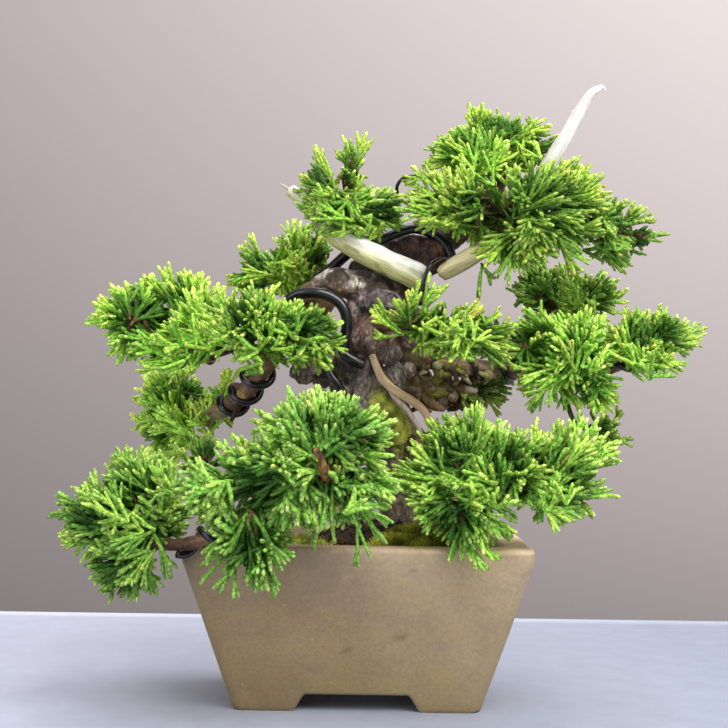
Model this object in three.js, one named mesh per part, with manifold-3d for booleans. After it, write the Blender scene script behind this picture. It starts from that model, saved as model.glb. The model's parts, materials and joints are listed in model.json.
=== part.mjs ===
// A small shimpaku juniper trained as a bonsai, in its tapered rectangular pot.
// Units are millimetres, +Z is up, +X is the viewer's right and +Y points away from the viewer.
import * as THREE from "three";
import { mergeVertices } from "three/addons/utils/BufferGeometryUtils.js";
import Module from "manifold-3d";

const wasm = await Module();
wasm.setup();

// ---------------------------------------------------------------- driving dimensions
const POT_WIDTH = 130; // outside, at the lip
const POT_DEPTH = 96;
const POT_HEIGHT = 63.5;
const BASE_WIDTH = 94; // outside, at the feet
const BASE_DEPTH = 60;
const RIM_WALL = 10.3; // width of the flat rim
const LIP_DROP = 2.2; // rounding at the outer lip
const BAND_HEIGHT = 6.5; // the nearly upright band under the lip
const CORNER = 4.5; // radius of the upright corners
const FLOOR_UNDER = 6.7; // height of the feet
const FLOOR_TOP = 13.6;
const FOOT_GAP_TOP = 19.4; // half width of the front cut-out between the feet
const FOOT_GAP_LOW = 24.3;
const SIDE_GAP_TOP = 10.5; // half width of the cut-outs in the sides
const SIDE_GAP_LOW = 13.0;
const DRAIN_RADIUS = 5.5;
const DRAIN_X = 27.5;
const TIE_HOLE_RADIUS = 3.1;
const TIE_X = 11;
const SOIL_EDGE = 57.0; // soil level at the wall
const FIT = 0.3; // clearance between pieces that touch
const HEAVY_WIRE = 1.75; // radii of the training wires
const MEDIUM_WIRE = 1.15;
const THIN_WIRE = 0.7;
const TIE_WIRE = 0.65;
const SHIFT = [-10.1, 11.7, 0]; // moves the pot's middle so that the origin is under the middle of the whole

// ---------------------------------------------------------------- helpers
function solidOf(geometry) {
  const g = geometry.clone();
  g.deleteAttribute("normal");
  g.deleteAttribute("uv");
  const merged = mergeVertices(g, 1e-4);
  const triVerts = new Uint32Array(merged.index.array);
  const make = () =>
    new wasm.Manifold(
      new wasm.Mesh({
        numProp: 3,
        vertProperties: new Float32Array(merged.attributes.position.array),
        triVerts,
      }),
    );
  let solid = make();
  if (solid.volume() < 0) {
    for (let i = 0; i < triVerts.length; i += 3)
      [triVerts[i + 1], triVerts[i + 2]] = [triVerts[i + 2], triVerts[i + 1]];
    solid = make();
  }
  return solid;
}

function geometryOf(solid) {
  const mesh = solid.getMesh();
  const g = new THREE.BufferGeometry();
  g.setAttribute("position", new THREE.BufferAttribute(new Float32Array(mesh.vertProperties), 3));
  g.setIndex(new THREE.BufferAttribute(new Uint32Array(mesh.triVerts), 1));
  g.computeVertexNormals();
  return g;
}

// The largest body, for a piece that a cut has trimmed.
function largest(solid) {
  const bodies = solid.decompose();
  return bodies.reduce((a, b) => (b.volume() > a.volume() ? b : a));
}

const union = (list) => list.reduce((a, b) => a.add(b));

function curveOf(points) {
  return new THREE.CatmullRomCurve3(points.map((p) => new THREE.Vector3(...p)));
}

function radiusAt(curve, radii, u) {
  const t = curve.getUtoTmapping(u) * (radii.length - 1);
  const i = Math.min(Math.floor(t), radii.length - 2);
  return radii[i] + (radii[i + 1] - radii[i]) * (t - i);
}

// A tapering limb: a cylinder bent along a curve. grow makes it fatter and longer for cutting a clearance.
function limb(points, radii, sides = 8, steps = 10, grow = 0, knobble = 0) {
  const curve = curveOf(points);
  const frames = curve.computeFrenetFrames(steps, false);
  const g = new THREE.CylinderGeometry(1, 1, 1, sides, steps, false);
  g.deleteAttribute("normal");
  g.deleteAttribute("uv");
  const p = g.attributes.position;
  const v = new THREE.Vector3();
  for (let i = 0; i < p.count; i++) {
    const u = Math.min(Math.max(p.getY(i) + 0.5, 0), 1);
    const k = Math.round(u * steps);
    const a = Math.atan2(p.getZ(i), p.getX(i));
    const lump = 1 + knobble * Math.sin(3 * a + 9 * u) * Math.sin(17 * u + 1.3);
    const r = (radiusAt(curve, radii, u) * lump + grow) / 1;
    curve.getPointAt(u, v);
    v.addScaledVector(frames.normals[k], p.getX(i) * r);
    v.addScaledVector(frames.binormals[k], -p.getZ(i) * r);
    if (k === 0) v.addScaledVector(frames.tangents[k], -grow);
    if (k === steps) v.addScaledVector(frames.tangents[k], grow);
    p.setXYZ(i, v.x, v.y, v.z);
  }
  return solidOf(g);
}

// A round wire along a list of points.
function wire(points, radius, steps, sides = 5) {
  const shape = new THREE.Shape();
  for (let i = 0; i <= sides; i++) {
    const a = (i / sides) * 2 * Math.PI;
    if (i === 0) shape.moveTo(radius, 0);
    else if (i < sides) shape.lineTo(radius * Math.cos(a), radius * Math.sin(a));
  }
  shape.closePath();
  const g = new THREE.ExtrudeGeometry(shape, {
    steps,
    extrudePath: curveOf(points),
    bevelEnabled: false,
  });
  return solidOf(g);
}

// Points of a wire that winds round a limb.
function coil(points, radii, { from, to, turns, phase = 0, wireRadius, gap = 1.0, perTurn = 6 }) {
  const curve = curveOf(points);
  const n = Math.max(4, Math.round(Math.abs(turns) * perTurn));
  const frames = curve.computeFrenetFrames(200, false);
  const out = [];
  for (let i = 0; i <= n; i++) {
    const u = from + ((to - from) * i) / n;
    const k = Math.round(u * 200);
    const a = phase + (2 * Math.PI * turns * i) / n;
    const r = radiusAt(curve, radii, u) * 1.03 + wireRadius + gap;
    const c = curve.getPointAt(u);
    c.addScaledVector(frames.normals[k], Math.cos(a) * r);
    c.addScaledVector(frames.binormals[k], Math.sin(a) * r);
    out.push([c.x, c.y, c.z]);
  }
  return out;
}

// A lumpy ball for one cushion of foliage or moss.
function lump([cx, cy, cz, rx, ry, rz], grow = 0, detail = 2) {
  const g = new THREE.IcosahedronGeometry(1, detail);
  const p = g.attributes.position;
  for (let i = 0; i < p.count; i++) {
    const x = p.getX(i);
    const y = p.getY(i);
    const z = p.getZ(i);
    const b =
      1 + 0.06 * Math.sin(4.1 * x + cx) * Math.sin(4.7 * y + cy) + 0.05 * Math.sin(5.3 * z + cz + 2 * x);
    p.setXYZ(i, cx + x * (rx * b + grow), cy + y * (ry * b + grow), cz + z * (rz * b + grow));
  }
  return solidOf(g);
}

// A rounded rectangle, drawn as a shape with the given half sizes.
function roundedRect(hx, hy, r, segments = 4) {
  const s = new THREE.Shape();
  const corners = [
    [hx - r, hy - r, 0],
    [-(hx - r), hy - r, 1],
    [-(hx - r), -(hy - r), 2],
    [hx - r, -(hy - r), 3],
  ];
  let first = true;
  for (const [cx, cy, q] of corners)
    for (let i = 0; i <= segments; i++) {
      const a = (q + i / segments) * (Math.PI / 2);
      const x = cx + r * Math.cos(a);
      const y = cy + r * Math.sin(a);
      if (first) s.moveTo(x, y);
      else s.lineTo(x, y);
      first = false;
    }
  s.closePath();
  return s;
}

// A vessel wall or filling: rounded rectangles stacked by [z, half width, half depth, corner radius].
function stack(levels) {
  const R = 10;
  const HX = 40;
  const HY = 30;
  const g = new THREE.ExtrudeGeometry(roundedRect(HX, HY, R), {
    depth: levels.length - 1,
    steps: levels.length - 1,
    bevelEnabled: false,
  });
  const p = g.attributes.position;
  for (let i = 0; i < p.count; i++) {
    const [z, hx, hy, r] = levels[Math.round(p.getZ(i))];
    const x = p.getX(i);
    const y = p.getY(i);
    const f = (v, H, h) => {
      const flat = H - R;
      return Math.sign(v) * (h - r + (Math.abs(v) - flat) * (r / R));
    };
    p.setXYZ(i, f(x, HX, hx), f(y, HY, hy), z);
  }
  return solidOf(g);
}

function boreAt(x, y, z0, z1, r, sides = 16) {
  const g = new THREE.CylinderGeometry(r, r, z1 - z0, sides);
  g.rotateX(Math.PI / 2);
  g.translate(x, y, (z0 + z1) / 2);
  return solidOf(g);
}

// A channel with sloping ends under the pot, along Y or X.
function footChannel(low, top, height, reach, alongX) {
  const s = new THREE.Shape();
  s.moveTo(-low, -2);
  s.lineTo(low, -2);
  s.lineTo(low, 0);
  s.lineTo(top + 0.9, height - 1.6);
  s.lineTo(top - 0.9, height);
  s.lineTo(-top + 0.9, height);
  s.lineTo(-top - 0.9, height - 1.6);
  s.lineTo(-low, 0);
  s.closePath();
  const g = new THREE.ExtrudeGeometry(s, { depth: 2 * reach, bevelEnabled: false });
  g.translate(0, 0, -reach);
  g.rotateX(Math.PI / 2);
  if (alongX) g.rotateZ(Math.PI / 2);
  return solidOf(g);
}

// ---------------------------------------------------------------- the pot
const hw = POT_WIDTH / 2;
const hd = POT_DEPTH / 2;
const bw = BASE_WIDTH / 2;
const bd = BASE_DEPTH / 2;
const H = POT_HEIGHT;
const wallAt = (z) => {
  const t = z / (H - LIP_DROP - BAND_HEIGHT);
  return [bw + (hw - 0.8 - bw) * t, bd + (hd - 0.8 - bd) * t];
};
const outerLevels = [
  [0, bw - 0.8, bd - 0.8, CORNER - 0.8],
  [0.8, ...wallAt(0.8), CORNER],
  [20, ...wallAt(20), CORNER],
  [40, ...wallAt(40), CORNER],
  [H - LIP_DROP - BAND_HEIGHT, hw - 0.8, hd - 0.8, CORNER],
  [H - LIP_DROP, hw, hd, CORNER],
  [H - 0.7, hw - 0.6, hd - 0.6, CORNER - 0.4],
  [H, hw - 1.8, hd - 1.8, CORNER - 1],
];
const outer = stack(outerLevels);
const innerTop = [hw - RIM_WALL, hd - RIM_WALL];
const innerLevels = (clear, zLow, zHigh) => {
  const at = (z) => {
    const t = (z - FLOOR_TOP) / (H - FLOOR_TOP);
    return [
      z,
      40.5 + (innerTop[0] - 40.5) * t - clear,
      24 + (innerTop[1] - 24) * t - clear,
      6 + 2 * t,
    ];
  };
  return [at(zLow), at((zLow + zHigh) / 2), at(zHigh)];
};
const cavity = stack(innerLevels(0, FLOOR_TOP, H + 2));
let pot = outer
  .subtract(cavity)
  .subtract(footChannel(FOOT_GAP_LOW, FOOT_GAP_TOP, FLOOR_UNDER, 80, false))
  .subtract(footChannel(SIDE_GAP_LOW, SIDE_GAP_TOP, FLOOR_UNDER, 80, true));
for (const s of [-1, 1]) {
  pot = pot.subtract(boreAt(s * DRAIN_X, 0, -1, FLOOR_TOP + 1, DRAIN_RADIUS));
  pot = pot.subtract(boreAt(s * TIE_X, 0, -1, FLOOR_TOP + 1, TIE_HOLE_RADIUS, 10));
}

// ---------------------------------------------------------------- drainage screens, their clips and the tie wire
function screen(x) {
  const g = new THREE.ExtrudeGeometry(roundedRect(8, 8, 1, 1), { depth: 0.9, bevelEnabled: false });
  g.translate(x, 0, FLOOR_TOP + FIT);
  let plate = solidOf(g);
  for (const i of [-1, 0, 1])
    for (const j of [-1, 0, 1]) {
      const hole = new THREE.BoxGeometry(3.2, 3.2, 4);
      hole.translate(x + i * 4.6, j * 4.6, FLOOR_TOP + FIT);
      plate = plate.subtract(solidOf(hole));
    }
  return plate;
}
// The clip runs over the middle bar of the screen, down through two of its openings and the hole, and its legs spread under the floor.
const clipPath = (x) => [
  [x - 7.6, -4.6, FLOOR_UNDER - 0.9],
  [x - 5.0, -4.6, FLOOR_UNDER - 0.9],
  [x - 1.6, -4.6, FLOOR_UNDER - 0.5],
  [x - 0.9, -3.6, FLOOR_UNDER + 2.0],
  [x, -3.5, FLOOR_TOP - 0.4],
  [x, -3.6, FLOOR_TOP + 1.6],
  [x, -2.2, FLOOR_TOP + 2.1],
  [x, 2.2, FLOOR_TOP + 2.1],
  [x, 3.6, FLOOR_TOP + 1.6],
  [x, 3.5, FLOOR_TOP - 0.4],
  [x + 0.9, 3.6, FLOOR_UNDER + 2.0],
  [x + 1.6, 4.6, FLOOR_UNDER - 0.5],
  [x + 5.0, 4.6, FLOOR_UNDER - 0.9],
  [x + 7.6, 4.6, FLOOR_UNDER - 0.9],
];
const clip = (x, r) => wire(clipPath(x), r, 26, 4);
const tiePath = [
  [3.2, 1.6, 66.4],
  [1.4, 0.8, 62.6],
  [-0.6, 0.4, 58.6],
  [-6, 0.2, 47],
  [-10.4, 0, 30],
  [-11, 0, 18],
  [-11, 0, 9],
  [-9.6, 0, 5.5],
  [0, 0, 5.5],
  [9.6, 0, 5.5],
  [11, 0, 9],
  [11, 0, 18],
  [11.6, -0.4, 30],
  [12.5, -9, 44],
  [10.5, -14.5, 55],
  [6.2, -12.5, 62.5],
];
const tie = (r) => wire(tiePath, r, 26, 4);

// ---------------------------------------------------------------- trunk, roots and branches
const TRUNK = [
  [22, 9, 60],
  [20.6, 8, 68],
  [17.9, 8, 85],
  [15.3, 6, 99],
  [9.4, 2, 112.8],
  [0.3, 0, 124.7],
  [-1.4, -2, 136.6],
  [5.6, -2, 148.7],
  [12.7, 2, 159.6],
  [20, 7, 169.8],
  [29.9, 11, 180.2],
  [41.9, 9, 188.3],
  [53, 4, 194.5],
];
const TRUNK_R = [15, 12.5, 9.6, 9.2, 9.4, 10.6, 9.4, 8.8, 8.2, 6.6, 5, 3.6, 2.4];
const ROOTS = [
  [[20, 8, 66], [6, 2, 61], [-10, -6, 53], [-22, -12, 40]],
  [[22, 6, 66], [34, -4, 61], [44, -14, 53], [47, -20, 42]],
  [[20, 12, 66], [12, 22, 60], [0, 27, 50], [-10, 26, 36]],
  [[24, 12, 66], [34, 20, 60], [42, 24, 50], [44, 24, 38]],
  [[20, 4, 65], [18, -10, 59], [14, -22, 50], [8, -27, 38]],
];
const ROOTS_R = [7.5, 4.6, 2.8, 1.5];
const LOBES = [
  [[9.2, -1.5, 160.5], [0.2, -4.6, 162.6], [-9.5, -6, 164], [-19, -5, 161]],
  [6.6, 6.7, 6.3, 4.6],
];
const LOWER_LOBE = [6.4, -9, 156.2, 9.5, 5.2, 5];
// The top of the trunk, up into the crown.
const LEADER = [[[50, 5, 192.5], [54, 4, 201], [56, 3, 210], [58, 2, 219]], [2.8, 2.2, 1.7, 1.1]];
const SNAG = [
  [[-2, -2, 129], [-9, -3, 130], [-18.8, -4, 129.4], [-25.4, -4, 124.6]],
  [8.5, 7.4, 5, 1.6],
];
const BURL = [3.5, -8.5, 142.5, 9.5, 6.5, 8.2];
const KNUCKLE = [20, 6, 176.4, 14.4, 8, 8.3];

const trunkWith = (grow) =>
  union([
    limb(TRUNK, TRUNK_R, 8, 20, grow, 0.05),
    ...ROOTS.map((r) => limb(r, ROOTS_R, 5, 4, grow)),
    limb(...LOBES, 7, 5, grow, 0.05),
    limb(...SNAG, 6, 4, grow, 0.08),
    limb(...LEADER, 5, 4, grow),
    lump(BURL, grow, 1),
    lump(KNUCKLE, grow, 1),
    lump(LOWER_LOBE, grow, 1),
  ]);

const BRANCHES = {
  branch_left_main: [[[-16, -5, 162.4], [-22.4, -6, 158.2], [-36.9, 0, 149], [-49.9, 3, 139.8], [-65, 2, 134.6], [-80.5, 0, 132.6]], [4.4, 4.2, 3.4, 2.8, 2.3, 1.6]],
  branch_left_back: [[[-13, -8, 158], [-20, -11, 150], [-28.2, -12, 142], [-36.8, -9, 131.9], [-46.4, 3, 120.4], [-55.6, 16, 113.4], [-65.6, 28, 110.4], [-77, 38, 110]], [4.2, 4, 3.8, 3.8, 3.7, 3.4, 3.2, 2.2]],
  branch_left_low: [[[13, 2, 107], [6, -9, 106.5], [-3.2, -24, 102.1], [-15.2, -48, 92.4], [-30.1, -58, 80.2], [-46.2, -57, 70.4], [-60.9, -53, 64.8], [-78, -47, 63.4]], [5.4, 4.8, 4.2, 3.6, 3, 2.7, 2.4, 1.5]],
  branch_right_low: [[[18, 3, 100], [30.8, -18, 97.8], [43.9, -38, 91.6], [58.7, -47, 88.3], [75.7, -44, 91.3]], [4.6, 3.8, 3, 2.3, 1.4]],
  branch_right_mid: [[[7, -2, 140.6], [23.5, 1, 135.6], [38.6, 4, 132.5], [58, 4, 130.4], [76.8, 2, 129], [95.4, -2, 129.6], [113, -7, 136.5]], [5.2, 4.6, 3.6, 2.8, 2.2, 1.7, 1.1]],
  branch_right_up: [[[52.9, 5, 132], [66, 16, 140], [83, 27, 155.5]], [2.4, 1.9, 1.1]],
  branch_mid_front: [[[2, -10, 146.5], [14, -19, 146.5], [30, -26, 146]], [2.8, 2.1, 1.1]],
  branch_mid_left_rear: [[[6, 3, 160], [-13.6, 18, 168], [-34, 27, 175]], [3.6, 2.6, 1.3]],
  branch_low_rear: [[[16, 10, 99], [32.8, 30, 94.6], [54, 45, 90]], [3.6, 2.6, 1.3]],
  branch_apex_rear: [[[30, 12, 181], [47, 27, 191], [62, 36, 198]], [3, 2.3, 1.3]],
  branch_mid_rear: [[[6, 3, 124.5], [18, 6, 123], [31, 8, 122.5], [46, 14, 122.5], [61, 27, 128.5], [80, 48, 139]], [5.2, 5, 4.2, 3.3, 2.3, 1.4]],
  branch_apex_left: [[[15.2, 6, 168], [9, 4, 173.4], [3.2, 3.4, 178.9], [-3.7, -1, 184.7], [-8.1, -10, 190.7]], [3.2, 2.7, 2.3, 2, 1.2]],
  branch_apex_right: [[[52, 4, 195], [66, -1, 193], [80, -5, 189], [101, -8, 185]], [2, 2, 1.8, 1]],
  branch_hanging: [[[80.5, 0, 128], [82.5, 2, 119], [87, 4, 109], [94, 7, 106]], [1.1, 1, 0.9, 0.7]],
};
// A shoot of a limb that carries a cushion of its own.
const SIDE_LIMBS = {
  branch_left_main: [[[-31.8, -1.8, 152.4], [-33, -10, 150.5], [-33.5, -19, 148], [-33, -28, 146.5]], [1.9, 1.6, 1.3, 1]],
  branch_left_low: [[[-44, -57, 71.6], [-50, -46, 76], [-55.5, -33, 83], [-58, -26, 90]], [1.7, 1.5, 1.2, 0.9]],
};
const DEADWOOD = {
  jin_top_right: [[[72.5, -2, 210.7], [76.7, -3, 217.4], [80.9, -4, 224.5], [84.8, -4.5, 231.7], [87.8, -5, 237.3], [90.4, -6, 241.1], [93.6, -6, 243.2]], [3, 3, 2.8, 2.5, 2.1, 1.8, 1.3]],
  jin_left: [[[24.8, -6.5, 165.2], [21.5, -8.5, 166.8], [6, -12.5, 173.3], [-9, -15, 180.9], [-13, -14, 183.9], [-18.3, -11, 190.5], [-24, -8.5, 196.3], [-29.3, -8, 200.3]], [4.2, 5.2, 4.9, 4.1, 3.6, 3.1, 2.9, 2.4]],
  jin_right: [[[31.3, -4, 167.7], [33.2, -4.6, 169.3], [41.7, -6.6, 174.4], [52.1, -6, 181], [59.5, -3, 186.7]], [2.6, 3.4, 3.7, 3.2, 2.2]],
  shari_strip: [[[4.1, -14.6, 135], [8.2, -14.6, 126.2], [12.9, -13.8, 121.6], [19.6, -12, 117.7], [24.4, -10, 113.9], [27.7, -9, 108.4], [30.5, -7, 102]], [1.4, 1.6, 1.6, 1.6, 1.5, 1.4, 1]],
};

// ---------------------------------------------------------------- training wires
const B = BRANCHES;
// Paths of the heavy wire over the trunk and its left lobe, the one round the snag and a free end at the crown.
const WIRE_ARC = [[35.1, 4, 169.5], [35.8, 1.5, 174.8], [33.6, 1.5, 180], [28.1, 1.5, 184.8], [20.4, 1, 186.9], [12, -1.5, 184.2], [6.3, -4, 181.4], [1.2, -4.8, 179.6], [-4, -3.9, 177.6], [-8, -1.2, 174.4], [-12.5, 2.5, 170.6], [-18, 4.4, 166.4], [-22.4, 4.2, 162], [-24.6, 2.6, 157.4], [-24.8, 0.4, 152.2], [-26.4, -4.2, 148.2], [-29.8, -8.8, 149.8], [-30, -13.2, 154.6], [-25.4, -16.2, 158.2], [-18.8, -17.4, 159], [-12.6, -17.2, 157.6], [-8, -16.9, 154.2], [-6, -16.8, 149.4], [-6, -16.6, 144.2], [-7.2, -15.6, 139.6], [-6.6, -15.6, 135.4], [-2.6, -16.2, 132.6], [1, -15.6, 131.2]];
const WIRE_SNAG = [[-17.2, -6.5, 135.6], [-15.6, -11, 133], [-13.4, -13, 129.6], [-11, -13.8, 126], [-8.2, -13.6, 122.4], [-6.8, -12.8, 119.2], [-8.4, -12.6, 116.4], [-12.4, -13, 118.6], [-16.6, -12.6, 120.4], [-20, -9, 118.4]];
const WIRE_CROWN = [[40.5, 3, 204.8], [34.2, -1, 206.5], [26.4, -4, 207.6], [19.5, -5, 207.1], [15.2, -5, 205.8], [13.2, -4, 202.7], [14.1, -2, 198.6]];
const WIRES = {
  wire_upper_trunk: [WIRE_ARC, HEAVY_WIRE + 0.4, 56],
  wire_snag: [WIRE_SNAG, MEDIUM_WIRE + 0.35, 22],
  wire_crown: [WIRE_CROWN, THIN_WIRE, 16],
  wire_left_main: [coil(...B.branch_left_main, { from: 0.34, to: 0.93, turns: 3.8, phase: 1, wireRadius: MEDIUM_WIRE, perTurn: 6 }), MEDIUM_WIRE, 23],
  wire_left_back: [coil(...B.branch_left_back, { from: 0.34, to: 0.68, turns: 3.2, phase: 0.4, wireRadius: MEDIUM_WIRE + 0.25, perTurn: 6 }), MEDIUM_WIRE + 0.25, 20],
  wire_left_low: [coil(...B.branch_left_low, { from: 0.5, to: 0.9, turns: 3.2, phase: 0, wireRadius: MEDIUM_WIRE + 0.25, perTurn: 6 }), MEDIUM_WIRE + 0.25, 19],
  wire_right_low: [coil(...B.branch_right_low, { from: 0.3, to: 0.85, turns: 3, phase: 2, wireRadius: MEDIUM_WIRE, perTurn: 6 }), MEDIUM_WIRE, 18],
  wire_right_mid: [coil(...B.branch_right_mid, { from: 0.28, to: 0.93, turns: 6, phase: 1.5, wireRadius: MEDIUM_WIRE, perTurn: 6 }), MEDIUM_WIRE, 36],
  wire_apex_left: [coil(...B.branch_apex_left, { from: 0.3, to: 0.9, turns: 3, phase: 1, wireRadius: THIN_WIRE, perTurn: 6 }), THIN_WIRE, 18],
};

// ---------------------------------------------------------------- foliage cushions [x, y, z, half sizes]
const FOLIAGE = {
  foliage_apex_crown: [[39.5, 3, 219.2, 14.5, 15, 10.5], [55.9, 2, 224.9, 16.9, 17, 11.3], [68.9, 2, 219.4, 11.3, 14, 12.1]],
  foliage_apex_front: [[44.6, -18, 192.8, 19.4, 17, 13.2], [68.4, -20, 194, 21.6, 20, 17.8], [86.1, -14, 186.9, 11.7, 15, 13.3], [59.4, -15, 181.7, 14, 13, 9.4]],
  foliage_apex_right: [[101.3, -6, 188.1, 9.5, 12, 9.5], [110.1, -6, 183.4, 6.7, 10, 9.5]],
  foliage_apex_rear: [[57, 35, 197, 20, 16, 14], [40, 32, 192, 13, 12, 10]],
  foliage_upper_left: [[-7.2, -16, 193.5, 16.4, 14, 9.3], [8, -15, 191.9, 10.9, 12, 7.8], [-17.9, -16, 203.2, 6.6, 8, 9.3], [-4.8, -14, 209.2, 5.5, 7, 10.2]],
  foliage_mid_left_rear: [[-44.8, 30, 171, 12.7, 14, 11], [-30.3, 26, 178.4, 11.8, 12, 12.6], [-19.6, 20, 179.6, 8.3, 9, 12.5]],
  foliage_left_main: [[-90.8, -2, 149.8, 16.8, 18, 13.6], [-73.7, 4, 154.4, 17.8, 18, 14.9], [-62.3, 4, 148.9, 12.1, 15, 12.9]],
  foliage_left_front: [[-41.5, -32, 146.4, 15.1, 16, 13.6], [-20.3, -33, 144, 14.3, 15, 12.3]],
  foliage_left_low_rear: [[-78.8, 41, 118.1, 19.8, 14, 12.1], [-86.6, 43, 104.2, 12.1, 16, 13]],
  foliage_left_far_low: [[-82.6, -42, 84.5, 14.1, 16, 12.6], [-96.8, -44, 73.4, 14.8, 16, 11.1], [-77.6, -44, 69.3, 12.5, 14, 10.3], [-86.8, -45, 55.3, 11.8, 13, 14.7]],
  foliage_left_tuft: [[-58.2, -24, 92.9, 8.4, 8, 13]],
  foliage_front_low: [[-8.7, -72, 105.5, 20.9, 20, 14.7], [-33.9, -72, 89.2, 16.7, 18, 15.3], [-36.8, -75, 65.8, 16.6, 15, 13.2], [-5, -70, 88.3, 18.2, 15, 9]],
  foliage_right_low: [[35.3, -46, 97.4, 18.4, 19, 17.6], [55.7, -48, 93, 19, 21, 14.5], [76.8, -44, 91.3, 17, 18, 16.2], [35.7, -55, 76.2, 14.4, 13, 13.7]],
  foliage_low_rear: [[51, 50, 91, 20, 16, 12], [31, 47, 97, 13, 13, 11], [66, 56, 95, 12, 13, 9]],
  foliage_mid_front: [[19.5, -29, 147.6, 10.5, 9, 8.2], [32, -30, 146, 15.2, 11, 11.4], [46.6, -28, 143.3, 9.9, 9, 9.9]],
  foliage_right_upper: [[77, 28, 164.9, 14.3, 13, 11], [96, 28, 162.7, 12.6, 13, 11]],
  foliage_right_mid: [[69.8, -8, 140, 14.2, 14, 13.5], [86.2, -9, 136, 15, 15, 16.6], [90.9, -10, 124.6, 9.4, 11, 10.2]],
  foliage_mid_rear: [[74, 53.2, 139, 17, 14, 11], [92, 50, 138, 12, 12, 10], [58, 48, 144, 10, 10, 8]],
  foliage_right_far: [[108.9, -8, 143.5, 10.3, 12, 11.1], [120.7, -8, 145, 11.1, 13, 10.8]],
  foliage_right_hanging: [[98.6, 4, 106.7, 8.1, 9, 8.1]],
  foliage_under: [[46, 13, 121.5, 17, 8, 5.5]],
};

// ---------------------------------------------------------------- joins and cuts
const GAP = FIT + 0.02;
const trunkGrown = trunkWith(GAP);
const wireSolids = {};
const wireGrown = [];
for (const [name, [points, r, steps]] of Object.entries(WIRES)) {
  const solid = wire(points, r, steps);
  const ends = [points[0], points[points.length - 1]];
  wireSolids[name] = solid;
  wireGrown.push(wire(points, r + GAP, steps), ...ends.map((e) => lump([...e, r, r, r], GAP + 0.1, 1)));
}
const allWiresGrown = union(wireGrown);

const tieGrown = tie(TIE_WIRE + GAP);
let trunk = largest(trunkWith(0).subtract(tieGrown).subtract(allWiresGrown));

// Each limb is cut clear of the trunk, the wires and the limbs before it.
const woody = {};
const withSide = (name, solid, grow) => (SIDE_LIMBS[name] ? solid.add(limb(...SIDE_LIMBS[name], 5, 5, grow)) : solid);
let woodGrown = trunkGrown;
const limbsOf = { ...DEADWOOD, ...BRANCHES };
for (const [name, [points, radii]] of Object.entries(limbsOf)) {
  const sides = radii[0] > 3 ? 6 : 5;
  const steps = Math.max(3, Math.round((points.length - 1) * 1.4));
  const whole = withSide(name, limb(points, radii, sides, steps, 0, 0.04), 0);
  woody[name] = largest(whole.subtract(woodGrown).subtract(allWiresGrown));
  woodGrown = woodGrown.add(withSide(name, limb(points, radii, sides, steps, GAP, 0.04), GAP));
}

const potGrownCavity = stack(innerLevels(FIT, FLOOR_TOP + FIT, SOIL_EDGE));
const screens = { left: screen(-DRAIN_X), right: screen(DRAIN_X) };
const clips = { left: clip(-DRAIN_X, 0.45), right: clip(DRAIN_X, 0.45) };
const screenBlock = (x) => {
  const g = new THREE.BoxGeometry(17, 17, 4.4);
  g.translate(x, 0, FLOOR_TOP + 1.2);
  return solidOf(g);
};
const mound = lump([16, 3, 54, 40, 28, 15.5], 0, 2);
let soil = potGrownCavity
  .add(mound.intersect(stack(innerLevels(FIT, 30, 80))))
  .subtract(screenBlock(-DRAIN_X))
  .subtract(screenBlock(DRAIN_X))
  .subtract(trunkGrown)
  .subtract(tieGrown);
soil = largest(soil);

// Moss cushions lie on the soil: each is what stands above a slightly larger soil.
const soilGrown = stack([[20, 53.5, 36.5, 6], [SOIL_EDGE + GAP, 53.5, 36.5, 6]]).add(lump([16, 3, 54, 40 + GAP, 28 + GAP, 15.5 + GAP], 0, 2));
const mossCutter = soilGrown.add(woodGrown).add(tieGrown).add(allWiresGrown);
const insideRim = stack(innerLevels(2 * FIT, 40, 80));
const moss = {
  moss_front: largest(lump([27, -20, 57, 26, 15.5, 12.5], 0, 2).intersect(insideRim).subtract(mossCutter)),
  moss_left: largest(lump([-28, -8, 56, 22, 24, 7.5], 0, 2).intersect(insideRim).subtract(mossCutter)),
  moss_back: largest(lump([8, 25, 57, 28, 12, 10.5], 0, 2).intersect(insideRim).subtract(mossCutter)),
};
// Moss that has climbed the shaded flank of the trunk.
moss.moss_trunk = largest(
  limb([[15.5, -1, 101], [13.5, -2.5, 107], [9.5, -4.5, 113], [5.5, -6.5, 119]], [4.8, 6, 6.2, 4.6], 8, 5).subtract(mossCutter),
);

// A cushion has one pocket for each limb that grows into it, wide enough for the limb's wire too.
const WIRED = {
  branch_left_main: MEDIUM_WIRE,
  branch_left_back: MEDIUM_WIRE + 0.25,
  branch_left_low: MEDIUM_WIRE + 0.25,
  branch_right_low: MEDIUM_WIRE,
  branch_right_mid: MEDIUM_WIRE,
  branch_apex_left: THIN_WIRE,
};
let taken = trunkGrown
  .add(moss.moss_trunk)
  .add(stack(outerLevels.map(([z, x, y, r]) => [z + (z > H - 1 ? GAP : 0), x + GAP, y + GAP, r])));
for (const name of ["wire_upper_trunk", "wire_snag", "wire_crown"])
  taken = taken.add(wire(WIRES[name][0], WIRES[name][1] + GAP, WIRES[name][2]));
for (const [name, [points, radii]] of Object.entries(limbsOf)) {
  const extra = WIRED[name] ? 2 * WIRED[name] + 1.6 : 0;
  const sides = extra ? 6 : radii[0] > 3 ? 6 : 5;
  const steps = Math.max(3, Math.round((points.length - 1) * 1.4));
  const wide = radii.map((r) => (extra ? (r * 1.03 + extra) / 0.82 : r));
  taken = taken.add(withSide(name, limb(points, wide, sides, steps, GAP, extra ? 0 : 0.04), GAP));
}
const pads = {};
for (const [name, balls] of Object.entries(FOLIAGE)) {
  pads[name] = largest(union(balls.map((b) => lump(b, 0, 1))).subtract(taken));
  taken = taken.add(union(balls.map((b) => lump(b, GAP, 1))));
}

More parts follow.
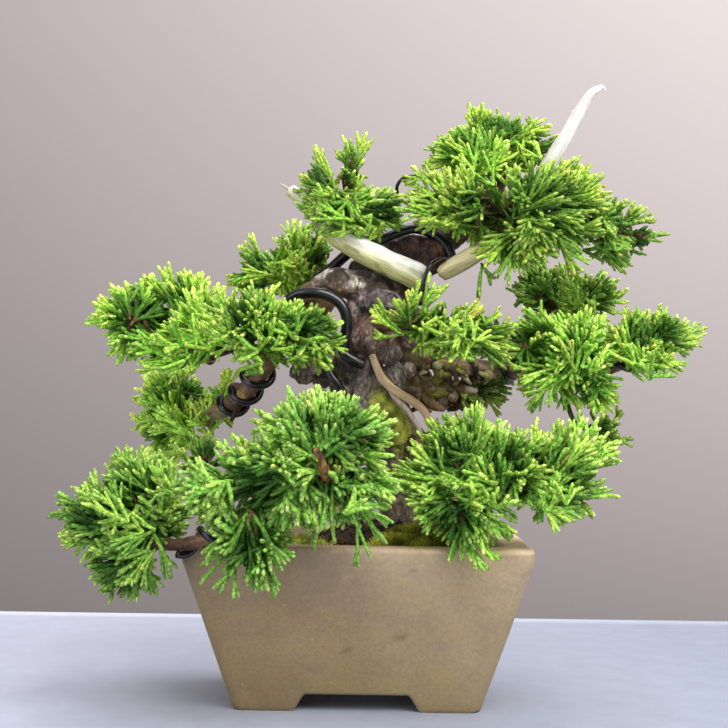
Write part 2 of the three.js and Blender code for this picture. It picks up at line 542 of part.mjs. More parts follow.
// ---------------------------------------------------------------- the assembled tree
const part = new THREE.Group();
const placed = new THREE.Group();
placed.position.set(...SHIFT);
part.add(placed);

function add(name, solid, color, roughness, metalness = 0) {
  const mesh = new THREE.Mesh(
    geometryOf(solid),
    new THREE.MeshStandardMaterial({ color, roughness, metalness }),
  );
  mesh.name = name;
  placed.add(mesh);
}

add("pot", pot, 0xa8936f, 0.75);
add("drainage_screen_left", screens.left, 0x2c2e2c, 0.6);
add("drainage_screen_right", screens.right, 0x2c2e2c, 0.6);
add("screen_clip_left", clips.left, 0x8f9092, 0.35, 0.9);
add("screen_clip_right", clips.right, 0x8f9092, 0.35, 0.9);
add("tie_wire", tie(TIE_WIRE), 0x8f9092, 0.35, 0.9);
add("soil", soil, 0x3a2c1e, 0.95);
for (const [name, s] of Object.entries(moss)) add(name, s, 0x6f7c26, 0.95);
add("trunk", trunk, 0x7a6350, 0.8);
for (const name of Object.keys(DEADWOOD)) add(name, woody[name], name === "jin_top_right" ? 0xf1eee6 : 0xd6c9a4, 0.75);
for (const name of Object.keys(BRANCHES)) add(name, woody[name], 0x6b4a3a, 0.85);
for (const [name, s] of Object.entries(wireSolids)) add(name, s, 0x16181c, 0.35, 0.7);
for (const [name, s] of Object.entries(pads)) add(name, s, 0x5f9a35, 0.7);

export default part;
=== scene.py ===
import json
import math
import zlib

import bmesh
import bpy
import numpy as np
from mathutils import Matrix, Vector

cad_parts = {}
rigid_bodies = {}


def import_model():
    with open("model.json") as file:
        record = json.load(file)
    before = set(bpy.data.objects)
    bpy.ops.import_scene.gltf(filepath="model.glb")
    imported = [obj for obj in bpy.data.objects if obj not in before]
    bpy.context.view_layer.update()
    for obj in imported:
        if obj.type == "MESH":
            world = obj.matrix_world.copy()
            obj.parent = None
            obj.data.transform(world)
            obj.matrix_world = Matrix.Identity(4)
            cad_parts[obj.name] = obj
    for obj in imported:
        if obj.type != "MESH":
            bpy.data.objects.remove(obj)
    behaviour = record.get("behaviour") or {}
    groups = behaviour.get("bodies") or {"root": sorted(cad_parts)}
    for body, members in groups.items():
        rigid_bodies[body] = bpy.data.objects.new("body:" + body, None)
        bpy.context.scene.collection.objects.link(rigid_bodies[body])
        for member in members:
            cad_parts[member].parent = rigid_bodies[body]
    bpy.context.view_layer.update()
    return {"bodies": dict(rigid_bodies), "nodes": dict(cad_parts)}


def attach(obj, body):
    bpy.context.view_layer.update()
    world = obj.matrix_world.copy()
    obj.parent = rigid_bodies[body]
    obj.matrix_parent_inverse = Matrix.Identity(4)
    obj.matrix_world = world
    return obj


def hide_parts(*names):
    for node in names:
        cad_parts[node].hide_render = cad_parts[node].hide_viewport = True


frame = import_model()
BODY = sorted(frame["bodies"])[0]
NODES = frame["nodes"]

# Millimetres with the pot's middle at the origin. SHIFT moves them to the row frame.
SHIFT = np.array([-10.1, 11.7, 0.0])


# ---------------------------------------------------------------- camera
CAM_F, CAM_X, CAM_Y, CAM_Z, CAM_PITCH, CAM_ROLL = 1381.7, 1.04, -554.0, 117.7, math.radians(1.47), math.radians(0.8)


def make_camera():
    data = bpy.data.cameras.new("camera")
    data.sensor_width = 36.0
    data.lens = 36.0 * CAM_F / 728.0
    data.clip_start, data.clip_end = 0.01, 20.0
    cam = bpy.data.objects.new("camera", data)
    bpy.context.scene.collection.objects.link(cam)
    p, r = CAM_PITCH, CAM_ROLL
    ex, ey = Vector((1, 0, 0)), Vector((0, -math.sin(p), math.cos(p)))
    right = ex * math.cos(r) + ey * math.sin(r)
    up = -ex * math.sin(r) + ey * math.cos(r)
    back = -Vector((0, math.cos(p), math.sin(p)))
    m = Matrix((right, up, back)).transposed().to_4x4()
    m.translation = Vector(((CAM_X + SHIFT[0]) / 1000, (CAM_Y + SHIFT[1]) / 1000, CAM_Z / 1000))
    cam.matrix_world = m
    bpy.context.scene.camera = cam


def at_pixel(px, py, y):
    """The point of the photograph's pixel (px, py) that lies at depth y."""
    u0, v0 = px - 364, py - 364
    u = u0 * math.cos(CAM_ROLL) + v0 * math.sin(CAM_ROLL)
    v = -u0 * math.sin(CAM_ROLL) + v0 * math.cos(CAM_ROLL)
    d = np.array([u, 0, 0]) - v * np.array([0, -math.sin(CAM_PITCH), math.cos(CAM_PITCH)])
    d = d + CAM_F * np.array([0, math.cos(CAM_PITCH), math.sin(CAM_PITCH)])
    t = (y - CAM_Y) / d[1]
    return np.array([CAM_X, CAM_Y, CAM_Z]) + t * d


make_camera()


# ---------------------------------------------------------------- small mathematics
def unit(v):
    v = np.asarray(v, float)
    return v / np.maximum(np.linalg.norm(v, axis=-1, keepdims=True), 1e-9)


def smooth(a, b, x):
    t = np.clip((np.asarray(x, float) - a) / (b - a), 0, 1)
    return t * t * (3 - 2 * t)


def _lattice(i, j, k, seed):
    h = (i * 73856093) ^ (j * 19349663) ^ (k * 83492791) ^ (seed * 374761393 + 12345)
    h = (h ^ (h >> 13)) & 0x7FFFFFFF
    h = (h * 1274126177) & 0x7FFFFFFFFFFF
    h = (h ^ (h >> 15)) & 0xFFFF
    return h / 32767.5 - 1.0


def noise(p, size=1.0, seed=0):
    """Smooth noise from -1 to 1 at points p, with features of the given size."""
    q = np.asarray(p, float) / size
    i = np.floor(q).astype(np.int64)
    f = q - i
    f = f * f * (3 - 2 * f)
    x, y, z = i[..., 0], i[..., 1], i[..., 2]
    fx, fy, fz = f[..., 0], f[..., 1], f[..., 2]
    out = 0.0
    for a in (0, 1):
        for b in (0, 1):
            for c in (0, 1):
                w = (fx if a else 1 - fx) * (fy if b else 1 - fy) * (fz if c else 1 - fz)
                out = out + w * _lattice(x + a, y + b, z + c, seed)
    return out


def fbm(p, size, octaves=3, seed=0):
    total, amp = 0.0, 1.0
    for o in range(octaves):
        total = total + amp * noise(p, size / 2**o, seed + 17 * o)
        amp *= 0.5
    return total / (2 - 0.5 ** (octaves - 1))


def ridged(p, size, octaves=3, seed=0):
    total, amp = 0.0, 1.0
    for o in range(octaves):
        total = total + amp * (1 - 2 * np.abs(noise(p, size / 2**o, seed + 31 * o)))
        amp *= 0.5
    return total / (2 - 0.5 ** (octaves - 1))


class Curve:
    """A smooth curve through points, with a radius that changes along it."""

    def __init__(self, pts, radii=None, per=40):
        pts = np.array(pts, float)
        n = len(pts) - 1
        ext = np.vstack([2 * pts[0] - pts[1], pts, 2 * pts[-1] - pts[-2]])
        out, tt = [], []
        for i in range(n):
            a, b, c, d = ext[i : i + 4]
            d0, d1, d2 = (max(math.sqrt(np.linalg.norm(q - p)), 1e-4) for p, q in ((a, b), (b, c), (c, d)))
            m1 = ((b - a) / d0 - (c - a) / (d0 + d1) + (c - b) / d1) * d1
            m2 = ((c - b) / d1 - (d - b) / (d1 + d2) + (d - c) / d2) * d1
            w = (np.arange(per + (i == n - 1)) / per)[:, None]
            out.append(b + m1 * w + (-3 * b + 3 * c - 2 * m1 - m2) * w**2 + (2 * b - 2 * c + m1 + m2) * w**3)
            tt.append((i + w[:, 0]) / n)
        self.p = np.vstack(out)
        self.t = np.concatenate(tt)
        self.s = np.concatenate([[0], np.cumsum(np.linalg.norm(np.diff(self.p, axis=0), axis=1))])
        self.length = self.s[-1]
        self.radii = None if radii is None else np.array(radii, float)

    def at(self, u):
        s = np.clip(np.asarray(u, float), 0, 1) * self.length
        return np.stack([np.interp(s, self.s, self.p[:, k]) for k in range(3)], -1)

    def rad(self, u):
        t = np.interp(np.clip(np.asarray(u, float), 0, 1) * self.length, self.s, self.t)
        return np.interp(t * (len(self.radii) - 1), np.arange(len(self.radii)), self.radii)

    def frames(self, m):
        u = np.linspace(0, 1, m + 1)
        tan = unit(self.at(u + 2e-3) - self.at(u - 2e-3))
        axis = np.zeros(3)
        a = np.abs(tan[0])
        axis[max(i for i in range(3) if a[i] == a.min())] = 1
        nrm = [np.cross(tan[0], unit(np.cross(tan[0], axis)))]
        for i in range(1, m + 1):
            v = np.cross(tan[i - 1], tan[i])
            n = nrm[-1]
            if np.linalg.norm(v) > 1e-8:
                th = math.acos(max(-1, min(1, float(tan[i - 1] @ tan[i]))))
                n = np.array(Matrix.Rotation(th, 3, Vector(v).normalized()) @ Vector(n))
            nrm.append(unit(n))
        nrm = np.array(nrm)
        return self.at(u), tan, nrm, np.cross(tan, nrm)


# ---------------------------------------------------------------- mesh building
class Build:
    """Gathers vertices, faces and per-vertex colours and grain coordinates of one piece."""

    def __init__(self):
        self.v, self.c, self.g, self.q, self.t, self.n = [], [], [], [], [], 0

    def add(self, v, quads=None, tris=None, col=None, grain=None):
        v = np.asarray(v, float).reshape(-1, 3)
        self.v.append(v)
        col = np.array([0.5, 0.5, 0.5]) if col is None else np.asarray(col, float)
        self.c.append(np.broadcast_to(col.reshape(-1, 3), (len(v), 3)))
        self.g.append(v if grain is None else np.asarray(grain, float).reshape(-1, 3))
        if quads is not None and len(quads):
            self.q.append(np.asarray(quads, np.int64).reshape(-1, 4) + self.n)
        if tris is not None and len(tris):
            self.t.append(np.asarray(tris, np.int64).reshape(-1, 3) + self.n)
        self.n += len(v)

    def mesh(self, name, flat=False):
        v = np.vstack(self.v)
        col = np.clip(np.vstack(self.c), 0, 1)
        grain = np.vstack(self.g)
        q = np.vstack(self.q) if self.q else np.zeros((0, 4), np.int64)
        t = np.vstack(self.t) if self.t else np.zeros((0, 3), np.int64)
        me = bpy.data.meshes.new(name)
        me.vertices.add(len(v))
        me.vertices.foreach_set("co", ((v + SHIFT) / 1000).astype(np.float32).ravel())
        me.loops.add(q.size + t.size)
        me.loops.foreach_set("vertex_index", np.concatenate([q.ravel(), t.ravel()]).astype(np.int32))
        me.polygons.add(len(q) + len(t))
        starts = np.concatenate([np.arange(len(q)) * 4, q.size + np.arange(len(t)) * 3])
        me.polygons.foreach_set("loop_start", starts.astype(np.int32))
        me.update(calc_edges=True)
        me.validate()
        a = me.attributes.new("tone", "FLOAT_COLOR", "POINT")
        a.data.foreach_set("color", np.hstack([col, np.ones((len(col), 1))]).astype(np.float32).ravel())
        a = me.attributes.new("grain", "FLOAT_VECTOR", "POINT")
        a.data.foreach_set("vector", grain.astype(np.float32).ravel())
        me.polygons.foreach_set("use_smooth", np.full(len(me.polygons), not flat))
        me.update()
        return me

    def piece(self, name, mat, slot, *nodes, flat=False):
        return finish_piece(self.mesh(name, flat), name, mat, slot, *nodes)


MADE = []


def finish_piece(me, name, mat, slot, *nodes):
    ob = bpy.data.objects.new(name, me)
    bpy.context.scene.collection.objects.link(ob)
    me.materials.append(mat)
    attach(ob, BODY)
    if nodes:
        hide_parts(*nodes)
    MADE.append(ob)
    return ob


def grid_quads(rows, cols, wrap=True):
    i = np.arange(rows - 1)[:, None]
    j = np.arange(cols if wrap else cols - 1)[None, :]
    k = (j + 1) % cols
    return np.stack([i * cols + j, i * cols + k, (i + 1) * cols + k, (i + 1) * cols + j], -1).reshape(-1, 4)


def sweep(curve, sides, steps, bump=None, caps=True, u0=0.0, u1=1.0, squash=None):
    """A limb round a curve. bump(u, angle, point) gives a factor on the radius. Returns v, quads, tris, u, angle, grain."""
    m = 300
    _, _, nn, bb = curve.frames(m)
    u = np.linspace(u0, u1, steps + 1)
    k = np.clip(np.round(u * m).astype(int), 0, m)
    c, n, b = curve.at(u), nn[k], bb[k]
    th = np.arange(sides) * 2 * math.pi / sides
    U, TH = np.broadcast_to(u[:, None], (steps + 1, sides)), np.broadcast_to(th, (steps + 1, sides))
    r0 = curve.rad(u)[:, None] * np.ones(sides)
    ring = np.cos(TH)[..., None] * n[:, None] + np.sin(TH)[..., None] * b[:, None]
    r = r0 if bump is None else r0 * bump(U, TH, c[:, None] + ring * r0[..., None])
    v = c[:, None] + ring * r[..., None]
    grain = np.stack([np.cos(TH) * r0, np.sin(TH) * r0, U * curve.length], -1)
    quads = grid_quads(steps + 1, sides)
    v, grain = v.reshape(-1, 3), grain.reshape(-1, 3)
    tris = np.zeros((0, 3), int)
    uu, tt = U.ravel(), TH.ravel()
    if caps:
        N = len(v)
        e0 = c[0] - unit(c[1] - c[0]) * r0[0, 0] * 0.35
        e1 = c[-1] + unit(c[-1] - c[-2]) * r0[-1, 0] * 0.35
        v = np.vstack([v, e0, e1])
        grain = np.vstack([grain, [0, 0, 0], [0, 0, curve.length]])
        s = np.arange(sides)
        s2 = (s + 1) % sides
        a = steps * sides
        tris = np.vstack([np.stack([s2, s, np.full(sides, N)], 1), np.stack([a + s, a + s2, np.full(sides, N + 1)], 1)])
        uu, tt = np.append(uu, [u0, u1]), np.append(tt, [0, 0])
    return v, quads, tris, uu, tt, grain


def apply_modifiers(ob):
    dg = bpy.context.evaluated_depsgraph_get()
    dg.update()
    me = bpy.data.meshes.new_from_object(ob.evaluated_get(dg), preserve_all_data_layers=True, depsgraph=dg)
    return me


def remeshed(parts, voxel):
    """One skin round closed, overlapping bodies in millimetres: returns vertices and quads."""
    me = bpy.data.meshes.new("tmp")
    vs, fs, n = [], [], 0
    for v, quads, tris in parts:
        vs.append(v)
        fs += [tuple(int(x) + n for x in f) for f in quads] + [tuple(int(x) + n for x in f) for f in tris]
        n += len(v)
    me.from_pydata(np.vstack(vs).tolist(), [], fs)
    ob = bpy.data.objects.new("tmp", me)
    bpy.context.scene.collection.objects.link(ob)
    mod = ob.modifiers.new("r", "REMESH")
    mod.mode = "VOXEL"
    mod.voxel_size = voxel
    out = apply_modifiers(ob)
    v = np.empty(len(out.vertices) * 3, np.float32)
    out.vertices.foreach_get("co", v)
    q = [tuple(p.vertices) for p in out.polygons]
    nrm = np.empty(len(out.vertices) * 3, np.float32)
    out.vertices.foreach_get("normal", nrm)
    bpy.data.objects.remove(ob)
    bpy.data.meshes.remove(me)
    bpy.data.meshes.remove(out)
    return v.reshape(-1, 3).astype(float), q, nrm.reshape(-1, 3).astype(float)


# ---------------------------------------------------------------- materials
def new_material(name, rough, spec=0.5, metal=0.0):
    m = bpy.data.materials.new(name)
    m.use_nodes = True
    nt = m.node_tree
    b = nt.nodes["Principled BSDF"]
    b.inputs["Roughness"].default_value = rough
    b.inputs["Specular IOR Level"].default_value = spec
    b.inputs["Metallic"].default_value = metal
    return m, nt, b


def node(nt, kind, inputs=None, **props):
    n = nt.nodes.new(kind)
    for k, v in props.items():
        setattr(n, k, v)
    for k, v in (inputs or {}).items():
        if hasattr(v, "is_output"):
            nt.links.new(v, n.inputs[k])
        else:
            n.inputs[k].default_value = v
    return n


def coords(nt, kind="Object", scale=(1, 1, 1)):
    if kind == "grain":
        src = node(nt, "ShaderNodeAttribute", attribute_name="grain").outputs["Vector"]
    else:
        src = node(nt, "ShaderNodeTexCoord").outputs[kind]
    return node(nt, "ShaderNodeMapping", {"Vector": src, "Scale": scale}).outputs["Vector"]


def noise_node(nt, vec, scale, detail=3.0, rough=0.55, distort=0.0):
    return node(nt, "ShaderNodeTexNoise", {"Vector": vec, "Scale": scale, "Detail": detail, "Roughness": rough, "Distortion": distort}).outputs["Fac"]


def ramp(nt, fac, stops, interp="LINEAR"):
    n = node(nt, "ShaderNodeValToRGB", {"Fac": fac})
    n.color_ramp.interpolation = interp
    e = n.color_ramp.elements
    while len(e) < len(stops):
        e.new(0.5)
    for el, (pos, c) in zip(e, stops):
        el.position = pos
        el.color = (*c, 1) if len(c) == 3 else c
    return n.outputs["Color"]


def mix(nt, a, b, fac=1.0, mode="MULTIPLY"):
    n = node(nt, "ShaderNodeMix", data_type="RGBA", blend_type=mode)
    for key, v in (("Factor", fac), ("A", a), ("B", b)):
        socket = next(s for s in n.inputs if s.name == key and (s.type == ("VALUE" if key == "Factor" else "RGBA")))
        if hasattr(v, "is_output"):
            nt.links.new(v, socket)
        else:
            socket.default_value = v if key == "Factor" else (*v, 1)
    return next(s for s in n.outputs if s.type == "RGBA")


def bump_node(nt, bsdf, height, strength, distance, normal=None):
    n = node(nt, "ShaderNodeBump", {"Height": height, "Strength": strength, "Distance": distance})
    if normal is not None:
        nt.links.new(normal, n.inputs["Normal"])
    nt.links.new(n.outputs["Normal"], bsdf.inputs["Normal"])
    return n.outputs["Normal"]


def grey(lo, hi):
    return [(0.0, (lo,) * 3), (1.0, (hi,) * 3)]


def tone_material(name, rough, spec, size, lo, hi, bump, kind="Object", scale=(1, 1, 1), fine=None, bump_size=None, detail=4.0):
    """The piece's own colours, broken up by noise of the given size in millimetres."""
    m, nt, b = new_material(name, rough, spec)
    tone = node(nt, "ShaderNodeAttribute", attribute_name="tone").outputs["Color"]
    per = 1.0 if kind == "grain" else 1000.0
    vec = coords(nt, kind, scale)
    n1 = noise_node(nt, vec, per / size, detail)
    col = mix(nt, tone, ramp(nt, n1, [(0.25, (lo,) * 3), (0.75, (hi,) * 3)]))
    if fine:
        n2 = noise_node(nt, vec, per / fine, 2.0)
        col = mix(nt, col, ramp(nt, n2, [(0.3, (0.75,) * 3), (0.7, (1.2,) * 3)]))
    nt.links.new(col, b.inputs["Base Color"])
    n3 = noise_node(nt, vec, per / (bump_size or size), 5.0, 0.65)
    bump_node(nt, b, n3, 1.0, bump)
    return m


def foliage_material():
    m, nt, b = new_material("foliage", 0.55, 0.22)
    tone = node(nt, "ShaderNodeAttribute", attribute_name="tone").outputs["Color"]
    vec = coords(nt)
    n1 = noise_node(nt, vec, 1000 / 1.3, 2.0)
    col = mix(nt, tone, ramp(nt, n1, [(0.32, (0.68,) * 3), (0.68, (1.36,) * 3)]))
    # scales: painted highlight, slightly bluish, on the middle of each and painted shade at their edges
    vor = node(nt, "ShaderNodeTexVoronoi", {"Vector": vec, "Scale": 1000 / 1.25}).outputs["Distance"]
    col = mix(nt, col, ramp(nt, vor, [(0.1, (1.22, 1.2, 1.3)), (0.45, (1, 1, 1)), (0.75, (0.58, 0.62, 0.5))]))
    nt.links.new(col, b.inputs["Base Color"])
    bump_node(nt, b, vor, 1.0, -0.0003)
    return m


def trunk_material():
    """Rough plated bark: broad and fine patches, dark cracks between the plates."""
    m, nt, b = new_material("trunk_bark", 0.5, 0.5)
    tone = node(nt, "ShaderNodeAttribute", attribute_name="tone").outputs["Color"]
    vec = coords(nt, "Object", (1, 1, 0.55))
    n1 = noise_node(nt, vec, 1000 / 4.5, 6.0, 0.7)
    col = mix(nt, tone, ramp(nt, n1, [(0.36, (0.55,) * 3), (0.5, (0.98,) * 3), (0.66, (1.65,) * 3)]))
    n2 = noise_node(nt, vec, 1000 / 1.3, 4.0, 0.75)
    col = mix(nt, col, ramp(nt, n2, [(0.36, (0.42,) * 3), (0.5, (1.0,) * 3), (0.66, (1.65,) * 3)]))
    warped = mix(nt, vec, noise_node(nt, vec, 1000 / 3.0, 2.0), 0.0025, "ADD")
    crack = node(nt, "ShaderNodeTexVoronoi", {"Vector": warped, "Scale": 1000 / 3.6}, feature="DISTANCE_TO_EDGE").outputs["Distance"]
    col = mix(nt, col, ramp(nt, crack, [(0.0, (0.38,) * 3), (0.13, (1, 1, 1))]))
    nt.links.new(col, b.inputs["Base Color"])
    first = bump_node(nt, b, n2, 1.0, 0.0009)
    bump_node(nt, b, crack, 0.7, 0.0009, first)
    return m


def wire_material():
    m, nt, b = new_material("training_wire", 0.25, 0.6, 0.1)
    vec = coords(nt)
    n = noise_node(nt, vec, 1000 / 2.5, 4.0)
    nt.links.new(ramp(nt, n, [(0.3, (0.003, 0.003, 0.004)), (0.7, (0.012, 0.013, 0.016))]), b.inputs["Base Color"])
    nt.links.new(ramp(nt, noise_node(nt, vec, 1000 / 1.2, 3.0), grey(0.12, 0.3)), b.inputs["Roughness"])
    bump_node(nt, b, noise_node(nt, vec, 1000 / 1.4, 2.0), 0.3, 0.00005)
    return m


def ceramic_material():
    m, nt, b = new_material("pot_ceramic", 0.62, 0.35)
    tone = node(nt, "ShaderNodeAttribute", attribute_name="tone").outputs["Color"]
    vec = coords(nt)
    broad = noise_node(nt, vec, 1000 / 34, 3.0, 0.5)
    col = mix(nt, tone, ramp(nt, broad, [(0.3, (0.9, 0.88, 0.84)), (0.7, (1.08, 1.08, 1.09))]))
    fine = noise_node(nt, vec, 1000 / 1.5, 3.0, 0.7)
    col = mix(nt, col, ramp(nt, fine, [(0.3, (0.86,) * 3), (0.7, (1.1,) * 3)]))
    speck = node(nt, "ShaderNodeTexVoronoi", {"Vector": vec, "Scale": 1000 / 2.6, "Randomness": 1.0}).outputs["Distance"]
    col = mix(nt, col, ramp(nt, speck, [(0.03, (0.72, 0.66, 0.58)), (0.09, (1, 1, 1))]))
    patchy = noise_node(nt, coords(nt, "Object", (1, 1, 1.8)), 1000 / 13, 4.0, 0.6)
    col = mix(nt, col, ramp(nt, patchy, [(0.34, (0.95, 0.93, 0.98)), (0.5, (1, 1, 1)), (0.68, (1.06, 1.04, 0.9))]))
    pale = node(nt, "ShaderNodeTexVoronoi", {"Vector": coords(nt, "Object", (1, 1, 1.1)), "Scale": 1000 / 6.5}).outputs["Distance"]
    col = mix(nt, col, ramp(nt, pale, [(0.05, (1.3, 1.28, 1.22)), (0.09, (1, 1, 1))]))
    nt.links.new(col, b.inputs["Base Color"])
    nt.links.new(ramp(nt, broad, grey(0.55, 0.75)), b.inputs["Roughness"])
    bump_node(nt, b, noise_node(nt, vec, 1000 / 1.1, 5.0, 0.7), 0.8, 0.00018)
    return m


def metal_material():
    m, nt, b = new_material("bare_wire", 0.35, 0.5, 0.9)
    vec = coords(nt)
    nt.links.new(ramp(nt, noise_node(nt, vec, 1000 / 2.0, 3.0), [(0.3, (0.35, 0.35, 0.36)), (0.7, (0.55, 0.55, 0.56))]), b.inputs["Base Color"])
    bump_node(nt, b, noise_node(nt, vec, 1000 / 0.6, 2.0), 0.4, 0.00005)
    return m


def plastic_material():
    m, nt, b = new_material("screen_plastic", 0.55, 0.4)
    vec = coords(nt)
    nt.links.new(ramp(nt, noise_node(nt, vec, 1000 / 3.0, 3.0), [(0.3, (0.012, 0.016, 0.014)), (0.7, (0.03, 0.036, 0.032))]), b.inputs["Base Color"])
    bump_node(nt, b, noise_node(nt, vec, 1000 / 0.5, 2.0), 0.4, 0.00005)
    return m


MAT = {
    "foliage": foliage_material(),
    "wire": wire_material(),
    "pot": ceramic_material(),
    "metal": metal_material(),
    "plastic": plastic_material(),
    "bark": tone_material("bark", 0.8, 0.25, 1.6, 0.5, 1.45, 0.0007, "grain", (1, 1, 0.16), fine=0.5, bump_size=1.5),
    "trunk_bark": trunk_material(),
    "smooth_bark": tone_material("smooth_bark", 0.62, 0.4, 3.2, 0.7, 1.25, 0.0005, "Object", fine=0.8, bump_size=2.6),
    "deadwood": tone_material("deadwood", 0.62, 0.35, 1.3, 0.84, 1.1, 0.00022, "grain", (1, 1, 0.09), fine=0.6, bump_size=0.9),
    "soil": tone_material("soil", 0.85, 0.3, 2.2, 0.55, 1.45, 0.0005, fine=0.7),
    "moss": tone_material("moss", 0.8, 0.2, 3.5, 0.6, 1.35, 0.0004, fine=0.8),
}

# ---------------------------------------------------------------- shared shape data
TRUNK = [[22, 9, 60], [20.6, 8, 68], [17.9, 8, 85], [15.3, 6, 99], [9.4, 2, 112.8], [0.3, 0, 124.7], [-1.4, -2, 136.6],
         [5.6, -2, 148.7], [12.7, 2, 159.6], [20, 7, 169.8], [29.9, 11, 180.2], [41.9, 9, 188.3], [53, 4, 194.5]]
TRUNK_R = [15, 12.5, 9.6, 9.2, 9.4, 10.6, 9.4, 8.8, 8.2, 6.6, 5, 3.6, 2.4]
ROOTS = [[[20, 8, 66], [6, 2, 61], [-10, -6, 53], [-22, -12, 40]], [[22, 6, 66], [34, -4, 61], [44, -14, 53], [47, -20, 42]],
         [[20, 12, 66], [12, 22, 60], [0, 27, 50], [-10, 26, 36]], [[24, 12, 66], [34, 20, 60], [42, 24, 50], [44, 24, 38]],
         [[20, 4, 65], [18, -10, 59], [14, -22, 50], [8, -27, 38]]]
ROOTS_R = [7.5, 4.6, 2.8, 1.5]
LOBES = [[[9.2, -1.5, 160.5], [0.2, -4.6, 162.6], [-9.5, -6, 164], [-19, -5, 161]], [6.6, 6.7, 6.3, 4.6]]
LOWER_LOBE = [6.4, -9, 156.2, 9.5, 5.2, 5]
LEADER = [[[50, 5, 192.5], [54, 4, 201], [56, 3, 210], [58, 2, 219]], [2.8, 2.2, 1.7, 1.1]]
SNAG = [[[-2, -2, 129], [-9, -3, 130], [-18.8, -4, 129.4], [-25.4, -4, 124.6]], [8.5, 7.4, 5, 1.6]]
BURL = [3.5, -8.5, 142.5, 9.5, 6.5, 8.2]
KNUCKLE = [20, 6, 176.4, 14.4, 8, 8.3]
BRANCHES = {
    "branch_left_main": [[[-16, -5, 162.4], [-22.4, -6, 158.2], [-36.9, 0, 149], [-49.9, 3, 139.8], [-65, 2, 134.6], [-80.5, 0, 132.6]], [4.4, 4.2, 3.4, 2.8, 2.3, 1.6]],
    "branch_left_back": [[[-13, -8, 158], [-20, -11, 150], [-28.2, -12, 142], [-36.8, -9, 131.9], [-46.4, 3, 120.4], [-55.6, 16, 113.4], [-65.6, 28, 110.4], [-77, 38, 110]], [4.2, 4, 3.8, 3.8, 3.7, 3.4, 3.2, 2.2]],
    "branch_left_low": [[[13, 2, 107], [6, -9, 106.5], [-3.2, -24, 102.1], [-15.2, -48, 92.4], [-30.1, -58, 80.2], [-46.2, -57, 70.4], [-60.9, -53, 64.8], [-78, -47, 63.4]], [5.4, 4.8, 4.2, 3.6, 3, 2.7, 2.4, 1.5]],
    "branch_right_low": [[[18, 3, 100], [30.8, -18, 97.8], [43.9, -38, 91.6], [58.7, -47, 88.3], [75.7, -44, 91.3]], [4.6, 3.8, 3, 2.3, 1.4]],
    "branch_right_mid": [[[7, -2, 140.6], [23.5, 1, 135.6], [38.6, 4, 132.5], [58, 4, 130.4], [76.8, 2, 129], [95.4, -2, 129.6], [113, -7, 136.5]], [5.2, 4.6, 3.6, 2.8, 2.2, 1.7, 1.1]],
    "branch_right_up": [[[52.9, 5, 132], [66, 16, 140], [83, 27, 155.5]], [2.4, 1.9, 1.1]],
    "branch_mid_front": [[[2, -10, 146.5], [14, -19, 146.5], [30, -26, 146]], [2.8, 2.1, 1.1]],
    "branch_mid_left_rear": [[[6, 3, 160], [-13.6, 18, 168], [-34, 27, 175]], [3.6, 2.6, 1.3]],
    "branch_low_rear": [[[16, 10, 99], [32.8, 30, 94.6], [54, 45, 90]], [3.6, 2.6, 1.3]],
    "branch_apex_rear": [[[30, 12, 181], [47, 27, 191], [62, 36, 198]], [3, 2.3, 1.3]],
    "branch_mid_rear": [[[6, 3, 124.5], [18, 6, 123], [31, 8, 122.5], [46, 14, 122.5], [61, 27, 128.5], [80, 48, 139]], [5.2, 5, 4.2, 3.3, 2.3, 1.4]],
    "branch_apex_left": [[[15.2, 6, 168], [9, 4, 173.4], [3.2, 3.4, 178.9], [-3.7, -1, 184.7], [-8.1, -10, 190.7]], [3.2, 2.7, 2.3, 2, 1.2]],
    "branch_apex_right": [[[52, 4, 195], [66, -1, 193], [80, -5, 189], [101, -8, 185]], [2, 2, 1.8, 1]],
    "branch_hanging": [[[80.5, 0, 128], [82.5, 2, 119], [87, 4, 109], [94, 7, 106]], [1.1, 1, 0.9, 0.7]],
}
SIDE_LIMBS = {
    "branch_left_main": [[[-31.8, -1.8, 152.4], [-33, -10, 150.5], [-33.5, -19, 148], [-33, -28, 146.5]], [1.9, 1.6, 1.3, 1]],
    "branch_left_low": [[[-44, -57, 71.6], [-50, -46, 76], [-55.5, -33, 83], [-58, -26, 90]], [1.7, 1.5, 1.2, 0.9]],
}
DEADWOOD = {
    "jin_top_right": [[[72.5, -2, 210.7], [76.7, -3, 217.4], [80.9, -4, 224.5], [84.8, -4.5, 231.7], [87.8, -5, 237.3], [90.4, -6, 241.1], [93.6, -6, 243.2]], [3, 3, 2.8, 2.5, 2.1, 1.8, 1.3]],
    "jin_left": [[[24.8, -6.5, 165.2], [21.5, -8.5, 166.8], [6, -12.5, 173.3], [-9, -15, 180.9], [-13, -14, 183.9], [-18.3, -11, 190.5], [-24, -8.5, 196.3], [-29.3, -8, 200.3]], [4.2, 5.2, 4.9, 4.1, 3.6, 3.1, 2.9, 2.4]],
    "jin_right": [[[31.3, -4, 167.7], [33.2, -4.6, 169.3], [41.7, -6.6, 174.4], [52.1, -6, 181], [59.5, -3, 186.7]], [2.6, 3.4, 3.7, 3.2, 2.2]],
    "shari_strip": [[[4.1, -14.6, 135], [8.2, -14.6, 126.2], [12.9, -13.8, 121.6], [19.6, -12, 117.7], [24.4, -10, 113.9], [27.7, -9, 108.4], [30.5, -7, 102]], [1.4, 1.6, 1.6, 1.6, 1.5, 1.4, 1]],
}
